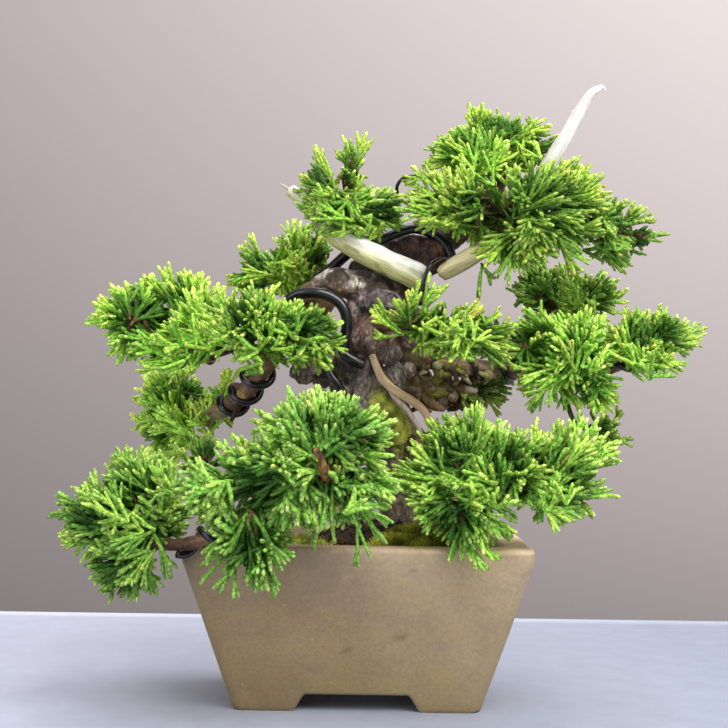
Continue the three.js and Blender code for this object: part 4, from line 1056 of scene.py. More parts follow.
# ---------------------------------------------------------------- moss that climbs the trunk
def moss_trunk_piece():
    rng = np.random.default_rng(77)
    c = Curve([[15.5, -1, 101], [13.5, -2.5, 107], [9.5, -4.5, 113], [5.5, -6.5, 119]], [4.8, 6, 6.2, 4.6])
    b = Build()
    v, q, t, u, th, g = sweep(c, 26, 26, lambda u, t, p: 1 + 0.12 * fbm(p, 4.0, 3, 81))
    k = smooth(-0.4, 0.5, fbm(v, 4.0, 3, 82))[:, None]
    col = np.array([0.14, 0.17, 0.025]) * (1 - k) + np.array([0.54, 0.58, 0.11]) * k
    b.add(v, q, t, col, g)
    n = 1500
    i = rng.integers(0, len(v), n)
    p = v[i] + rng.normal(0, 0.25, (n, 3))
    ctr = c.at(u[i])
    d = unit(p - ctr + rng.normal(0, 1.0, (n, 3)))
    h = rng.uniform(0.4, 1.1, n)
    e1 = unit(np.cross(d, rng.normal(size=(n, 3))))
    e2 = np.cross(d, e1)
    ring = [p - d * 0.2 + (e1 * math.cos(a) + e2 * math.sin(a)) * 0.26 for a in (0, 2.094, 4.189)]
    tv = np.stack([*ring, p + d * h[:, None]], 1).reshape(-1, 3)
    base = (np.arange(n) * 4)[:, None]
    tf = np.concatenate([base + [0, 1, 3], base + [1, 2, 3], base + [2, 0, 3]])
    cc = np.repeat(col[i], 4, 0) * np.tile([0.8, 0.8, 0.8, 1.5], n)[:, None]
    b.add(tv, None, tf, cc)
    b.piece("moss_trunk_film", MAT["moss"], "moss", "moss_trunk")


moss_trunk_piece()


# ---------------------------------------------------------------- branches
def bark_bump(seed):
    def f(u, th, p):
        return 1 + 0.10 * fbm(p, 5.0, 2, seed) + 0.09 * ridged(p, 1.8, 2, seed + 3)
    return f


BARK_TONES = {
    "branch_left_main": ((0.055, 0.03, 0.02), (0.19, 0.115, 0.07)),
    "branch_left_back": ((0.045, 0.026, 0.017), (0.27, 0.165, 0.095)),
    "branch_left_low": ((0.06, 0.032, 0.02), (0.24, 0.14, 0.085)),
    "branch_right_low": ((0.06, 0.034, 0.022), (0.2, 0.125, 0.08)),
    "branch_right_mid": ((0.075, 0.045, 0.03), (0.36, 0.25, 0.16)),
    "branch_mid_rear": ((0.05, 0.034, 0.02), (0.25, 0.18, 0.1)),
}


def branch_piece(name, i):
    c = LIMB[name]
    b = Build()
    wide = c.radii[0] > 3
    steps = max(14, int(c.length / (1.25 if wide else 1.6)))
    sides = 16 if wide else 11
    v, q, t, u, th, g = sweep(c, sides, steps, bark_bump(90 + i))
    lo, hi = (np.array(x) for x in BARK_TONES.get(name, ((0.05, 0.028, 0.018), (0.17, 0.1, 0.06))))
    k = smooth(-0.6, 0.6, fbm(g * [1, 1, 0.3], 2.2, 3, 100 + i))[:, None]
    col = lo * (1 - k) + hi * k
    if name == "branch_left_back":
        t_ = smooth(0.6, 0.7, u)[:, None] * smooth(-0.3, 0.3, fbm(v, 6.0, 2, 8))[:, None]
        col = col * (1 - t_) + np.array([0.24, 0.24, 0.1]) * t_
    if name == "branch_right_mid":
        t_ = smooth(0.05, 0.15, u)[:, None] * smooth(0.6, 0.4, u)[:, None] * smooth(0.2, 0.5, fbm(v, 5.0, 2, 18))[:, None]
        col = col * (1 - t_) + np.array([0.16, 0.15, 0.035]) * t_
    if name == "branch_mid_rear":
        t_ = smooth(0.5, 0.35, u)[:, None] * smooth(-0.15, 0.3, fbm(v, 4.0, 3, 19))[:, None]
        col = col * (1 - t_) + np.array([0.26, 0.25, 0.05]) * t_
        t_ = smooth(0.5, 0.35, u)[:, None] * smooth(0.2, 0.45, fbm(v, 3.0, 3, 23))[:, None]
        col = col * (1 - t_) + np.array([0.4, 0.35, 0.26]) * t_
    if name == "branch_hanging":
        col = col * 0.5 + np.array([0.06, 0.13, 0.02]) * 0.5
    # darker in the cracks of the bark and paler on its ridges, following the bark's own relief noise: partly bark
    # colour, partly painted shade and painted highlight
    bark_tone_and_shade = ridged(v, 1.8, 2, 93 + i)
    col = col * (0.55 + 0.5 * smooth(-0.7, 0.1, bark_tone_and_shade) + 0.4 * smooth(0.35, 0.9, bark_tone_and_shade))[:, None]
    b.add(v, q, t, col, g)
    if name == "branch_left_back":
        # a cut face between the turns of the wire, the pale end of a stub and a dry twig
        for centre, half, shade in ((at_pixel(243, 394, 0.4), (2.7, 1.8, 2.9), (0.36, 0.23, 0.085)), (at_pixel(230.5, 414, 12.6), (1.3, 1.3, 2.1), (0.62, 0.57, 0.4))):
            sv, sq, sf = lump_mesh(np.array([*centre, *half]), 2)
            b.add(sv, sq, sf, np.array(shade))
        sv, sq, st, *_ = sweep(Curve([at_pixel(240, 402, 3), at_pixel(236, 412, 4), at_pixel(231, 421, 4)], [1.5, 1.2, 0.7], 8), 8, 10, bark_bump(171))
        b.add(sv, sq, st, np.array([0.05, 0.03, 0.02]))
    if name in SIDE_LIMBS:
        sv, sq, st, _, _, sg = sweep(Curve(*SIDE_LIMBS[name]), 11, 22, bark_bump(95 + i))
        k = smooth(-0.6, 0.6, fbm(sg * [1, 1, 0.3], 2.2, 3, 105 + i))[:, None]
        b.add(sv, sq, st, lo * (1 - k) + hi * k, sg)
    # old scars and low stubs along the thicker limbs
    rng = np.random.default_rng(400 + i)
    if wide:
        _, tan, nn, bb = c.frames(300)
        for _ in range(int(c.length / 9)):
            uu = rng.uniform(0.08, 0.95)
            k = int(uu * 300)
            a = rng.uniform(0, 2 * math.pi)
            n = nn[k] * math.cos(a) + bb[k] * math.sin(a)
            r = float(c.rad(uu))
            p0 = c.at(uu) + n * r * 0.5
            ln = rng.uniform(0.9, 2.2)
            p1 = p0 + n * (r * 0.5 + ln * 0.5) + tan[k] * ln * rng.uniform(-0.2, 0.6)
            p2 = p1 + n * ln * 0.5 + rng.normal(0, 0.4, 3)
            sv, sq, st, *_ = sweep(Curve([p0, p1, p2], [1.3, 1.15, 0.85], 6), 8, 5)
            b.add(sv, sq, st, hi * rng.uniform(0.4, 0.9))
    if name in ("branch_mid_rear", "branch_right_mid"):
        # a tangle of short mossy twigs near the trunk
        rear = name == "branch_mid_rear"
        _, tan, nn, bb = c.frames(300)
        kinds = np.array([[0.26, 0.25, 0.05], [0.36, 0.3, 0.2], [0.09, 0.055, 0.03], [0.2, 0.13, 0.07]])
        for j in range(64 if rear else 26):
            uu = rng.uniform(0.1, 0.56) if rear else rng.uniform(0.12, 0.44)
            k = int(uu * 300)
            a = rng.uniform(0, 2 * math.pi)
            n = nn[k] * math.cos(a) + bb[k] * math.sin(a)
            if not rear:
                n = n * [1, 1, -np.sign(n[2])]
            r = float(c.rad(uu))
            ln = rng.uniform(4.0, 11.0) if rear else rng.uniform(3.0, 6.5)
            p0 = c.at(uu) + n * r * 0.4
            p1 = p0 + n * (r * 0.6 + ln * 0.3) + tan[k] * ln * rng.uniform(-0.5, 0.7)
            p2 = p1 + n * ln * 0.25 + tan[k] * ln * rng.uniform(-0.4, 0.6) + rng.normal(0, 1.2, 3)
            w0 = rng.uniform(0.8, 2.1)
            sv, sq, st, *_ = sweep(Curve([p0, p1, p2], [w0 * 1.2, w0, w0 * 0.5], 8), 8, 12, bark_bump(140 + j))
            kk = smooth(-0.3, 0.3, fbm(sv, 2.4, 2, 150 + j))[:, None]
            c0, c1 = kinds[rng.integers(0, 4)], kinds[rng.integers(0, 4)]
            b.add(sv, sq, st, c0 * (1 - kk) + c1 * kk)
    b.piece(name + "_bark", MAT["bark"], "bark", name)


for i, name in enumerate(BRANCHES):
    branch_piece(name, i)


# ---------------------------------------------------------------- deadwood
def deadwood_piece(name, i):
    c = LIMB[name]
    b = Build()
    steps = int(c.length / 0.9)
    sides = 26 if c.radii.max() > 2.5 else 18

    def carve(u, th, p):
        g = np.stack([np.cos(th) * 3, np.sin(th) * 3, u * c.length * 0.08], -1)
        return 1 + 0.06 * fbm(p, 6.0, 2, 120 + i) + 0.10 * ridged(g, 1.4, 2, 125 + i)

    v, q, t, u, th, g = sweep(c, sides, steps, carve)
    nz = np.zeros(len(v))
    ctr = c.at(u)
    nz[:] = unit(v - ctr)[:, 2]
    k = smooth(-0.6, 0.6, fbm(g * [1, 1, 0.12], 1.6, 3, 130 + i))[:, None]
    if name == "jin_top_right":
        col = np.array([0.8, 0.77, 0.7]) * (1 - k) + np.array([0.93, 0.92, 0.89]) * k
    elif name == "jin_left":
        col = np.array([0.62, 0.61, 0.42]) * (1 - k) + np.array([0.87, 0.88, 0.76]) * k
        low = smooth(0.1, -0.6, nz + 0.2 * fbm(v, 6.0, 2, 7))[:, None]
        col = col * (1 - low) + np.array([0.66, 0.64, 0.27]) * low
        top = smooth(0.1, 0.6, nz + 0.15 * fbm(v, 3.0, 2, 9))[:, None]
        col = col * (1 - top) + np.array([0.93, 0.94, 0.91]) * top
        spots = smooth(0.3, 0.5, fbm(g * [1, 1, 0.3], 2.6, 3, 133))[:, None] * smooth(0.45, 0.3, np.abs(u - 0.32))[:, None]
        col = col * (1 - 0.7 * spots) + np.array([0.2, 0.24, 0.08]) * 0.7 * spots
        tip = smooth(0.62, 0.72, u)[:, None] * smooth(-0.2, 0.4, fbm(v, 4.0, 2, 134))[:, None]
        tip = tip * smooth(0.93, 0.86, u)[:, None]
        col = col * (1 - 0.6 * tip) + np.array([0.2, 0.13, 0.1]) * 0.6 * tip
    elif name == "jin_right":
        col = np.array([0.62, 0.52, 0.24]) * (1 - k) + np.array([0.93, 0.84, 0.5]) * k
        low = smooth(0.0, -0.6, nz)[:, None]
        col = col * (1 - 0.4 * low) + np.array([0.45, 0.36, 0.12]) * 0.4 * low
    else:
        col = np.array([0.5, 0.35, 0.19]) * (1 - k) + np.array([0.88, 0.68, 0.42]) * k
        # painted highlight along the strip's left side
        left = smooth(0.1, 0.8, -unit(v - ctr)[:, 0])[:, None]
        col = col * (1 - 0.6 * left) + np.array([0.96, 0.82, 0.58]) * 0.6 * left
    b.add(v, q, t, col, g)
    if name == "jin_top_right":
        # two knobs and the hooked end
        for u0, side, ln, r in ((0.34, -1, 2.6, 1.1), (0.62, 1, 2.8, 1.0), (0.7, -1, 1.4, 0.8)):
            p = c.at(u0)
            tan = unit(c.at(u0 + 0.02) - c.at(u0 - 0.02))
            n = unit(np.cross(tan, [0, 1, 0])) * side
            sv, sq, st, *_ = sweep(Curve([p, p + n * ln * 0.6 + tan * 0.5, p + n * ln + tan * 1.4], [r * 1.2, r, r * 0.5], 8), 9, 8)
            b.add(sv, sq, st, [0.86, 0.84, 0.79])
        p = c.at(1.0)
        sv, sq, st, *_ = sweep(Curve([c.at(0.97), p + [0.4, 0, 0.3], p + [1.6, 0, -0.2], p + [2.2, 0, -1.4]], [0.9, 0.9, 0.7, 0.35], 8), 9, 10)
        b.add(sv, sq, st, [0.88, 0.87, 0.83])
    if name == "jin_left":
        # splinters at the broken end
        rng = np.random.default_rng(5)
        for k_ in range(7):
            u0 = rng.uniform(0.56, 0.97)
            p = c.at(u0)
            d = unit(c.at(min(u0 + 0.05, 1)) - c.at(u0 - 0.05) + rng.normal(0, 0.35, 3))
            ln = rng.uniform(3, 7)
            sv, sq, st, *_ = sweep(Curve([p, p + d * ln * 0.5 + rng.normal(0, 0.3, 3), p + d * ln], [0.9, 0.65, 0.2], 6), 7, 6)
            b.add(sv, sq, st, np.array([0.55, 0.48, 0.38]) * rng.uniform(0.5, 1.4))
    if name == "shari_strip":
        # a thin pale line of dead wood beside the strip
        pts = [[10.4, -12.8, 123], [13.2, -12.6, 118.6], [17.5, -11.6, 114.4], [21.5, -10.4, 109], [24.3, -9.0, 104]]
        sv, sq, st, *_ = sweep(Curve(pts, [0.8, 1.1, 1.2, 1.1, 0.6], 12), 10, 40)
        b.add(sv, sq, st, [0.5, 0.42, 0.36])
    b.piece(name + "_wood", MAT["deadwood"], "deadwood", name)


for i, name in enumerate(DEADWOOD):
    deadwood_piece(name, i)

# ---------------------------------------------------------------- training wires
HEAVY, MEDIUM, THIN = 1.75, 1.15, 0.7
WIRES = {
    "wire_left_main": (LIMB["branch_left_main"], 0.34, 0.93, 3.8, 1, MEDIUM, 0.1),
    "wire_left_back": (LIMB["branch_left_back"], 0.34, 0.68, 3.2, 0.4, MEDIUM + 0.25, 0.1),
    "wire_left_low": (LIMB["branch_left_low"], 0.5, 0.9, 3.2, 0, MEDIUM + 0.25, 0.1),
    "wire_right_low": (LIMB["branch_right_low"], 0.3, 0.85, 3, 2, MEDIUM, 0.1),
    "wire_right_mid": (LIMB["branch_right_mid"], 0.28, 0.93, 6, 1.5, MEDIUM, 0.1),
    "wire_apex_left": (LIMB["branch_apex_left"], 0.3, 0.9, 3, 1, THIN, 0.1),
}


WIRE_ARC = [[35.1, 4, 169.5], [35.8, 1.5, 174.8], [33.6, 1.5, 180], [28.1, 1.5, 184.8], [20.4, 1, 186.9], [12, -1.5, 184.2], [6.3, -4, 181.4], [1.2, -4.8, 179.6], [-4, -3.9, 177.6], [-8, -1.2, 174.4], [-12.5, 2.5, 170.6], [-18, 4.4, 166.4], [-22.4, 4.2, 162], [-24.6, 2.6, 157.4], [-24.8, 0.4, 152.2], [-26.4, -4.2, 148.2], [-29.8, -8.8, 149.8], [-30, -13.2, 154.6], [-25.4, -16.2, 158.2], [-18.8, -17.4, 159], [-12.6, -17.2, 157.6], [-8, -16.9, 154.2], [-6, -16.8, 149.4], [-6, -16.6, 144.2], [-7.2, -15.6, 139.6], [-6.6, -15.6, 135.4], [-2.6, -16.2, 132.6], [1, -15.6, 131.2]]
WIRE_SNAG = [[-17.2, -6.5, 135.6], [-15.6, -11, 133], [-13.4, -13, 129.6], [-11, -13.8, 126], [-8.2, -13.6, 122.4], [-6.8, -12.8, 119.2], [-8.4, -12.6, 116.4], [-12.4, -13, 118.6], [-16.6, -12.6, 120.4], [-20, -9, 118.4]]
WIRE_CROWN = [[40.5, 3, 204.8], [34.2, -1, 206.5], [26.4, -4, 207.6], [19.5, -5, 207.1], [15.2, -5, 205.8], [13.2, -4, 202.7], [14.1, -2, 198.6]]
WIRE_JIN = [[33.9, -3.2, 174.6], [30.2, -9.5, 173.6], [26.6, -14.4, 170.8], [24.2, -15.2, 165.4], [23.6, -14.6, 160.3]]
BENT_WIRES = {
    "wire_upper_trunk": (WIRE_ARC, HEAVY + 0.4), "wire_snag": (WIRE_SNAG, MEDIUM + 0.35), "wire_crown": (WIRE_CROWN, THIN),
}


def bent_wire_piece(name, pts, r):
    c = Curve(pts, [r] * 2)
    b = Build()
    v, q, t, *_ = sweep(c, 14, int(c.length / 0.7))
    b.add(v, q, t)
    if name == "wire_upper_trunk":
        # a thin one that is hooked over it and down past the dead limbs
        c = Curve(WIRE_JIN, [THIN + 0.1] * 2)
        v, q, t, *_ = sweep(c, 10, 30)
        b.add(v, q, t)
    b.piece(name + "_wire", MAT["wire"], "training_wire", name)


def wire_piece(name, spec):
    curve, u0, u1, turns, phase, r, gap = spec
    n = max(12, int(abs(turns) * 26))
    _, _, nn, bb = curve.frames(300)
    u = u0 + (u1 - u0) * np.arange(n + 1) / n
    k = np.round(u * 300).astype(int)
    a = phase + 2 * math.pi * turns * np.arange(n + 1) / n
    rr = curve.rad(u) * 1.03 + r + gap
    pts = curve.at(u) + (np.cos(a) * rr)[:, None] * nn[k] + (np.sin(a) * rr)[:, None] * bb[k]
    c = Curve(pts, [r] * 2, 2)
    b = Build()
    v, q, t, *_ = sweep(c, 12, n * 2)
    b.add(v, q, t)
    b.piece(name + "_coil", MAT["wire"], "training_wire", name)


for name, spec in WIRES.items():
    wire_piece(name, spec)
for name, (pts, r) in BENT_WIRES.items():
    bent_wire_piece(name, pts, r)


# ---------------------------------------------------------------- foliage
DARK = np.array([0.024, 0.078, 0.007])
MID = np.array([0.115, 0.28, 0.028])
LIGHT = np.array([0.24, 0.43, 0.06])
TIP = np.array([0.41, 0.51, 0.13])
OCHRE = np.array([0.46, 0.34, 0.13])
DRY = np.array([0.24, 0.15, 0.05])
TWIG = np.array([0.13, 0.065, 0.03])


def shoot_tubes(b, P, R, C, side, rng, sides=3):
    """Many scaly shoots at once: P (n, k, 3) centre points, R (n, k) radii, C (n, k, 3) colours, side (n, 3)."""
    n, k, _ = P.shape
    if n == 0:
        return
    T = unit(np.gradient(P, axis=1))
    n1 = unit(side[:, None] - (side[:, None] * T).sum(-1, keepdims=True) * T)
    n2 = np.cross(T, n1)
    s = np.arange(sides)
    ang = 2 * math.pi * s[None] / sides + (np.arange(k) % 2)[:, None] * math.pi / sides
    ring = n1[:, :, None] * np.cos(ang)[None, :, :, None] + n2[:, :, None] * np.sin(ang)[None, :, :, None]
    V = P[:, :, None] + R[:, :, None, None] * ring
    tip = P[:, -1] + T[:, -1] * R[:, -1:] * 1.1
    col = C[:, :, None] * rng.uniform(0.8, 1.25, (n, k, sides, 1))
    v = np.vstack([V.reshape(-1, 3), tip])
    c = np.vstack([col.reshape(-1, 3), C[:, -1] * 1.05])
    base = (np.arange(n) * k * sides)[:, None, None, None]
    kk = np.arange(k - 1)[None, :, None, None] * sides
    s4 = s[None, None, :, None]
    sn = (s4 + 1) % sides
    lo, lo_n, hi, hi_n = base + kk + s4, base + kk + sn, base + kk + sides + s4, base + kk + sides + sn
    even = (np.arange(k - 1) % 2 == 0)[None, :, None, None]
    ta = np.concatenate([lo, lo_n, np.where(even, hi, hi_n)], -1)
    tb = np.concatenate([np.where(even, lo_n, lo), hi_n, hi], -1)
    last = (np.arange(n) * k * sides)[:, None] + (k - 1) * sides
    tipi = np.broadcast_to((n * k * sides + np.arange(n))[:, None], (n, sides))
    tc = np.stack([last + s[None], last + (s[None] + 1) % sides, tipi], -1)
    b.add(v, None, np.vstack([ta.reshape(-1, 3), tb.reshape(-1, 3), tc.reshape(-1, 3)]), c)


def bent(O, d, L, bend, k):
    t = (np.linspace(0, 1, k) if np.isscalar(k) else np.asarray(k, float))[None, :, None]
    return O[:, None] + L[:, None, None] * (d[:, None] * t + bend[:, None] * t * t * 0.5)


def perp(d, rng):
    return unit(np.cross(d, rng.normal(size=d.shape)))


class Tone:
    def __init__(self, balls, bright=1.0, yellow=0.0, blue=0.0, tips=1.0):
        self.balls = np.array(balls, float)
        self.bright, self.yellow, self.blue, self.tips = bright, yellow, blue, tips

    def depth(self, p):
        """1 at the surface of the cushion and less inside it."""
        q = (p[..., None, :] - self.balls[:, :3]) / self.balls[:, 3:]
        return np.linalg.norm(q, axis=-1).min(-1)

    def colour(self, P, t, tipness, hue, dry):
        """P (n, k, 3), t (k,) along the shoot, tipness (n,), hue (n,), dry (n,)."""
        rho = self.depth(P)
        nz = np.clip((P[..., 2] - self.balls[:, 2].mean()) / (self.balls[:, 5].max() * 1.2), -1, 1)
        # darker inside the cushion: older inner foliage and painted shade
        a = smooth(0.42, 1.0, rho)[..., None]
        c = DARK * (1 - a) + MID * a
        # outer shoots lighter: young growth, and painted light that grows towards the top of the cushion
        l = (smooth(0.7, 1.15, rho) * (0.55 + 0.25 * nz + 0.25 * hue[:, None]))[..., None]
        l = np.clip(l, 0, 1)
        c = c * (1 - l) + LIGHT * l
        tp = (smooth(0.74, 1.0, t)[None] * tipness[:, None] * smooth(0.6, 1.0, rho) * self.tips * 0.72)[..., None]
        tp = np.clip(tp, 0, 1)
        o = smooth(0.8, 0.97, np.sin(41.0 * hue + 1.3))[:, None, None]
        c = c * (1 - tp) + (TIP * (1 - 0.7 * o) + OCHRE * 0.7 * o) * tp
        d = dry[:, None, None] * (0.25 + 0.75 * smooth(0.3, 0.9, t))[None, :, None] * np.ones_like(rho)[..., None]
        c = c * (1 - d) + DRY * d
        # painted light: each cushion's colour scaled by how lit it should look
        c = c * self.bright
        c = c * (1 + np.array([0.35, 0.06, -0.1]) * self.yellow) * (1 + np.array([-0.22, 0.0, 1.1]) * self.blue)
        c = c * (1 + 0.2 * np.sin(9.7 * hue + 2.3 * hue * hue)[:, None, None])
        return c * (1 + 0.18 * hue[:, None, None] * np.array([1.0, 0.5, 0.2]))


def sprays(b, O, tip, tone, rng, plane, up=0.15, fat=1.0, woody=0.2, pitch=3.8, angle=(14, 36), most=5):
    """Feathery sprays from O to tip: a main shoot, side shoots left and right nearly along it, and forks on those."""
    n = len(O)
    if n == 0:
        return
    D = tip - O
    L = np.linalg.norm(D, axis=1)
    d0 = unit(D)
    bend = np.zeros((n, 3))
    bend[:, 2] = up * rng.uniform(0.0, 1.3, n)
    bend += rng.normal(0, 0.15, (n, 3))
    d = unit(d0 - bend * 0.5)
    L = L / np.linalg.norm(d + bend * 0.5, axis=1)
    hue = rng.normal(0, 0.55, n).clip(-1, 1)
    dry = (rng.random(n) < 0.006) * rng.uniform(0.2, 0.5, n)
    t = np.array([0, 0.3, 0.6, 0.86, 1.0])
    P = bent(O, d, L, bend, t)
    r = (0.84 * fat * rng.uniform(0.86, 1.12, n))[:, None] * np.array([0.8, 1.0, 1.0, 1.0, 0.84])[None]
    r = r * rng.uniform(0.93, 1.07, r.shape)
    C = tone.colour(P, t, rng.uniform(0.1, 1.0, n), hue, dry)
    w = (smooth(woody + 0.15, woody - 0.15, t)[None, :] * smooth(0.85, 0.5, tone.depth(P)))[..., None]
    C = C * (1 - w) + TWIG * rng.uniform(0.5, 1.3, (n, 1, 1)) * w
    shoot_tubes(b, P, r, C, perp(d, rng), rng, 4)
    e1 = unit(np.cross(d, plane) + rng.normal(0, 0.22, d.shape))
    e2 = np.cross(d, e1)
    flip = rng.choice([-1.0, 1.0], n)
    count = np.clip(np.round(L / pitch), 2, most).astype(int)
    for j in range(most):
        on = (count > j) & (rng.random(n) < 0.92)
        if not on.any():
            continue
        m = on.sum()
        tj = np.clip(0.12 + 0.74 * (j + 0.5) / count[on] + rng.uniform(-0.05, 0.05, m), 0.08, 0.9)
        base = O[on] + L[on, None] * (d[on] * tj[:, None] + bend[on] * (tj * tj * 0.5)[:, None])
        tan = unit(d[on] + bend[on] * tj[:, None])
        ph = rng.normal(0, 0.6, m)
        sv = unit(e1[on] * np.cos(ph)[:, None] * (flip[on] * (1 if j % 2 else -1))[:, None] + e2[on] * np.sin(ph)[:, None])
        al = np.radians(rng.uniform(*angle, m))
        dj = unit(tan * np.cos(al)[:, None] + sv * np.sin(al)[:, None])
        Lj = np.clip((1 - tj) * L[on] * rng.uniform(0.62, 1.08, m) + rng.uniform(1.2, 3.6, m), 3, 14)
        bj = (tan - dj) * rng.uniform(-0.1, 0.8, (m, 1)) + bend[on] * 0.5 + rng.normal(0, 0.1, (m, 3))
        Pj = bent(base, dj, Lj, bj, [0, 0.72, 1.0])
        rj = (0.8 * fat * rng.uniform(0.82, 1.12, m))[:, None] * np.array([0.9, 1.0, 0.84])[None]
        hj = (hue[on] + rng.normal(0, 0.25, m)).clip(-1, 1)
        dryj = np.maximum(dry[on] * 0.8, (rng.random(m) < 0.008) * 0.5)
        Cj = tone.colour(Pj, np.array([0.1, 0.7, 1.0]), rng.uniform(0.0, 1.0, m), hj, dryj)
        shoot_tubes(b, Pj, rj, Cj, perp(dj, rng), rng, 4)
        for q in range(2):
            sub = (Lj > (5.0, 9.0)[q]) & (rng.random(m) < (0.62, 0.4)[q])
            if not sub.any():
                continue
            s = sub.sum()
            tq = rng.uniform(0.2, 0.42, s) + 0.22 * q
            bq = base[sub] + Lj[sub, None] * (dj[sub] * tq[:, None] + bj[sub] * (tq * tq * 0.5)[:, None])
            tn = unit(dj[sub] + bj[sub] * tq[:, None])
            away = unit(sv[sub] - (sv[sub] * tn).sum(-1, keepdims=True) * tn)
            side = away * (1 if q % 2 else -1) * rng.choice([-1, 1], s, p=[0.3, 0.7])[:, None]
            aq = np.radians(rng.uniform(14, 30, s))
            dq = unit(tn * np.cos(aq)[:, None] + side * np.sin(aq)[:, None] + rng.normal(0, 0.1, (s, 3)))
            Lq = np.clip((1 - tq) * Lj[sub] * rng.uniform(0.6, 1.0, s) + rng.uniform(0.4, 1.2, s), 1.8, 6.5)
            Pq = bent(bq, dq, Lq, (tn - dq) * 0.4, 2)
            rq = (0.74 * fat * rng.uniform(0.85, 1.1, s))[:, None] * np.array([0.98, 0.82])[None]
            Cq = tone.colour(Pq, np.array([0.4, 1.0]), rng.uniform(0.0, 0.7, s), (hj[sub] + rng.normal(0, 0.2, s)).clip(-1, 1), dryj[sub])
            shoot_tubes(b, Pq, rq, Cq, perp(dq, rng), rng)


def fibonacci(n, rng):
    i = np.arange(n) + 0.5
    ph = np.arccos(1 - 2 * i / n)
    th = math.pi * (1 + 5**0.5) * i + rng.uniform(0, 6.28)
    return np.stack([np.cos(th) * np.sin(ph), np.sin(th) * np.sin(ph), np.cos(ph)], 1)


CARRIERS = {**{n: LIMB[n] for n in BRANCHES}, "trunk": Curve(TRUNK[8:], TRUNK_R[8:]), "leader": Curve(*LEADER),
            "side_left_main": Curve(*SIDE_LIMBS["branch_left_main"]), "side_left_low": Curve(*SIDE_LIMBS["branch_left_low"])}
SOURCES = {
    "foliage_apex_crown": ["leader"], "foliage_apex_front": ["trunk", "leader", "branch_apex_right"], "foliage_apex_right": ["branch_apex_right"],
    "foliage_apex_rear": ["branch_apex_rear"], "foliage_upper_left": ["branch_apex_left"], "foliage_mid_left_rear": ["branch_mid_left_rear"],
    "foliage_left_main": ["branch_left_main"], "foliage_left_front": ["side_left_main"], "foliage_left_low_rear": ["branch_left_back"],
    "foliage_left_far_low": ["branch_left_low"], "foliage_left_tuft": ["side_left_low"], "foliage_front_low": ["branch_left_low"],
    "foliage_right_low": ["branch_right_low"], "foliage_low_rear": ["branch_low_rear"], "foliage_mid_front": ["branch_mid_front"],
    "foliage_right_upper": ["branch_right_up"], "foliage_right_mid": ["branch_right_mid"], "foliage_mid_rear": ["branch_mid_rear"],
    "foliage_right_far": ["branch_right_mid"], "foliage_right_hanging": ["branch_hanging"], "foliage_under": ["branch_mid_rear"],
}
# patch: square millimetres of cushion surface for each spray
# bright: a brightness factor per cushion standing in for how much light falls on it
LOOK = {
    "foliage_apex_crown": dict(patch=31, yellow=0.45, bright=1.74, up=0.35, fat=0.9),
    "foliage_apex_front": dict(patch=31, yellow=0.5, bright=1.38, up=0.25, fat=0.95),
    "foliage_apex_right": dict(patch=31, yellow=0.2, bright=1.16, up=-0.05),
    "foliage_apex_rear": dict(patch=44, yellow=0.2),
    "foliage_upper_left": dict(patch=31, yellow=0.5, bright=1.42, up=0.3, fat=0.95),
    "foliage_mid_left_rear": dict(patch=31, yellow=0.5, bright=1.62, up=0.2),
    "foliage_left_main": dict(patch=31, yellow=0.35, bright=1.98, up=0.2),
    "foliage_left_front": dict(patch=31, yellow=0.3, bright=1.5, up=0.2),
    "foliage_left_low_rear": dict(patch=31, yellow=0.55, bright=2.1, up=0.05),
    "foliage_left_far_low": dict(patch=31, yellow=0.1, bright=1.28, up=-0.05, blue=0.05),
    "foliage_left_tuft": dict(patch=31, yellow=0.2, bright=1.05, up=0.4),
    "foliage_front_low": dict(patch=31, yellow=0.05, bright=1.36, up=-0.1, fat=1.15, blue=0.12),
    "foliage_right_low": dict(patch=31, yellow=0.3, bright=1.6, up=0.1, fat=1.05, blue=0.05),
    "foliage_low_rear": dict(patch=44),
    "foliage_mid_front": dict(patch=31, yellow=0.5, bright=1.5, up=0.15, fat=0.95),
    "foliage_right_upper": dict(patch=31, yellow=0.25, bright=1.4, up=0.3),
    "foliage_right_mid": dict(patch=31, yellow=0.25, bright=1.96, up=0.15),
    "foliage_mid_rear": dict(patch=44, bright=0.9),
    "foliage_right_far": dict(patch=31, yellow=0.4, bright=1.6, up=0.2),
    "foliage_right_hanging": dict(patch=31, yellow=0.3, bright=1.15, up=0.1),
    "foliage_under": dict(patch=44, yellow=0.4, bright=1, up=-0.3),
}


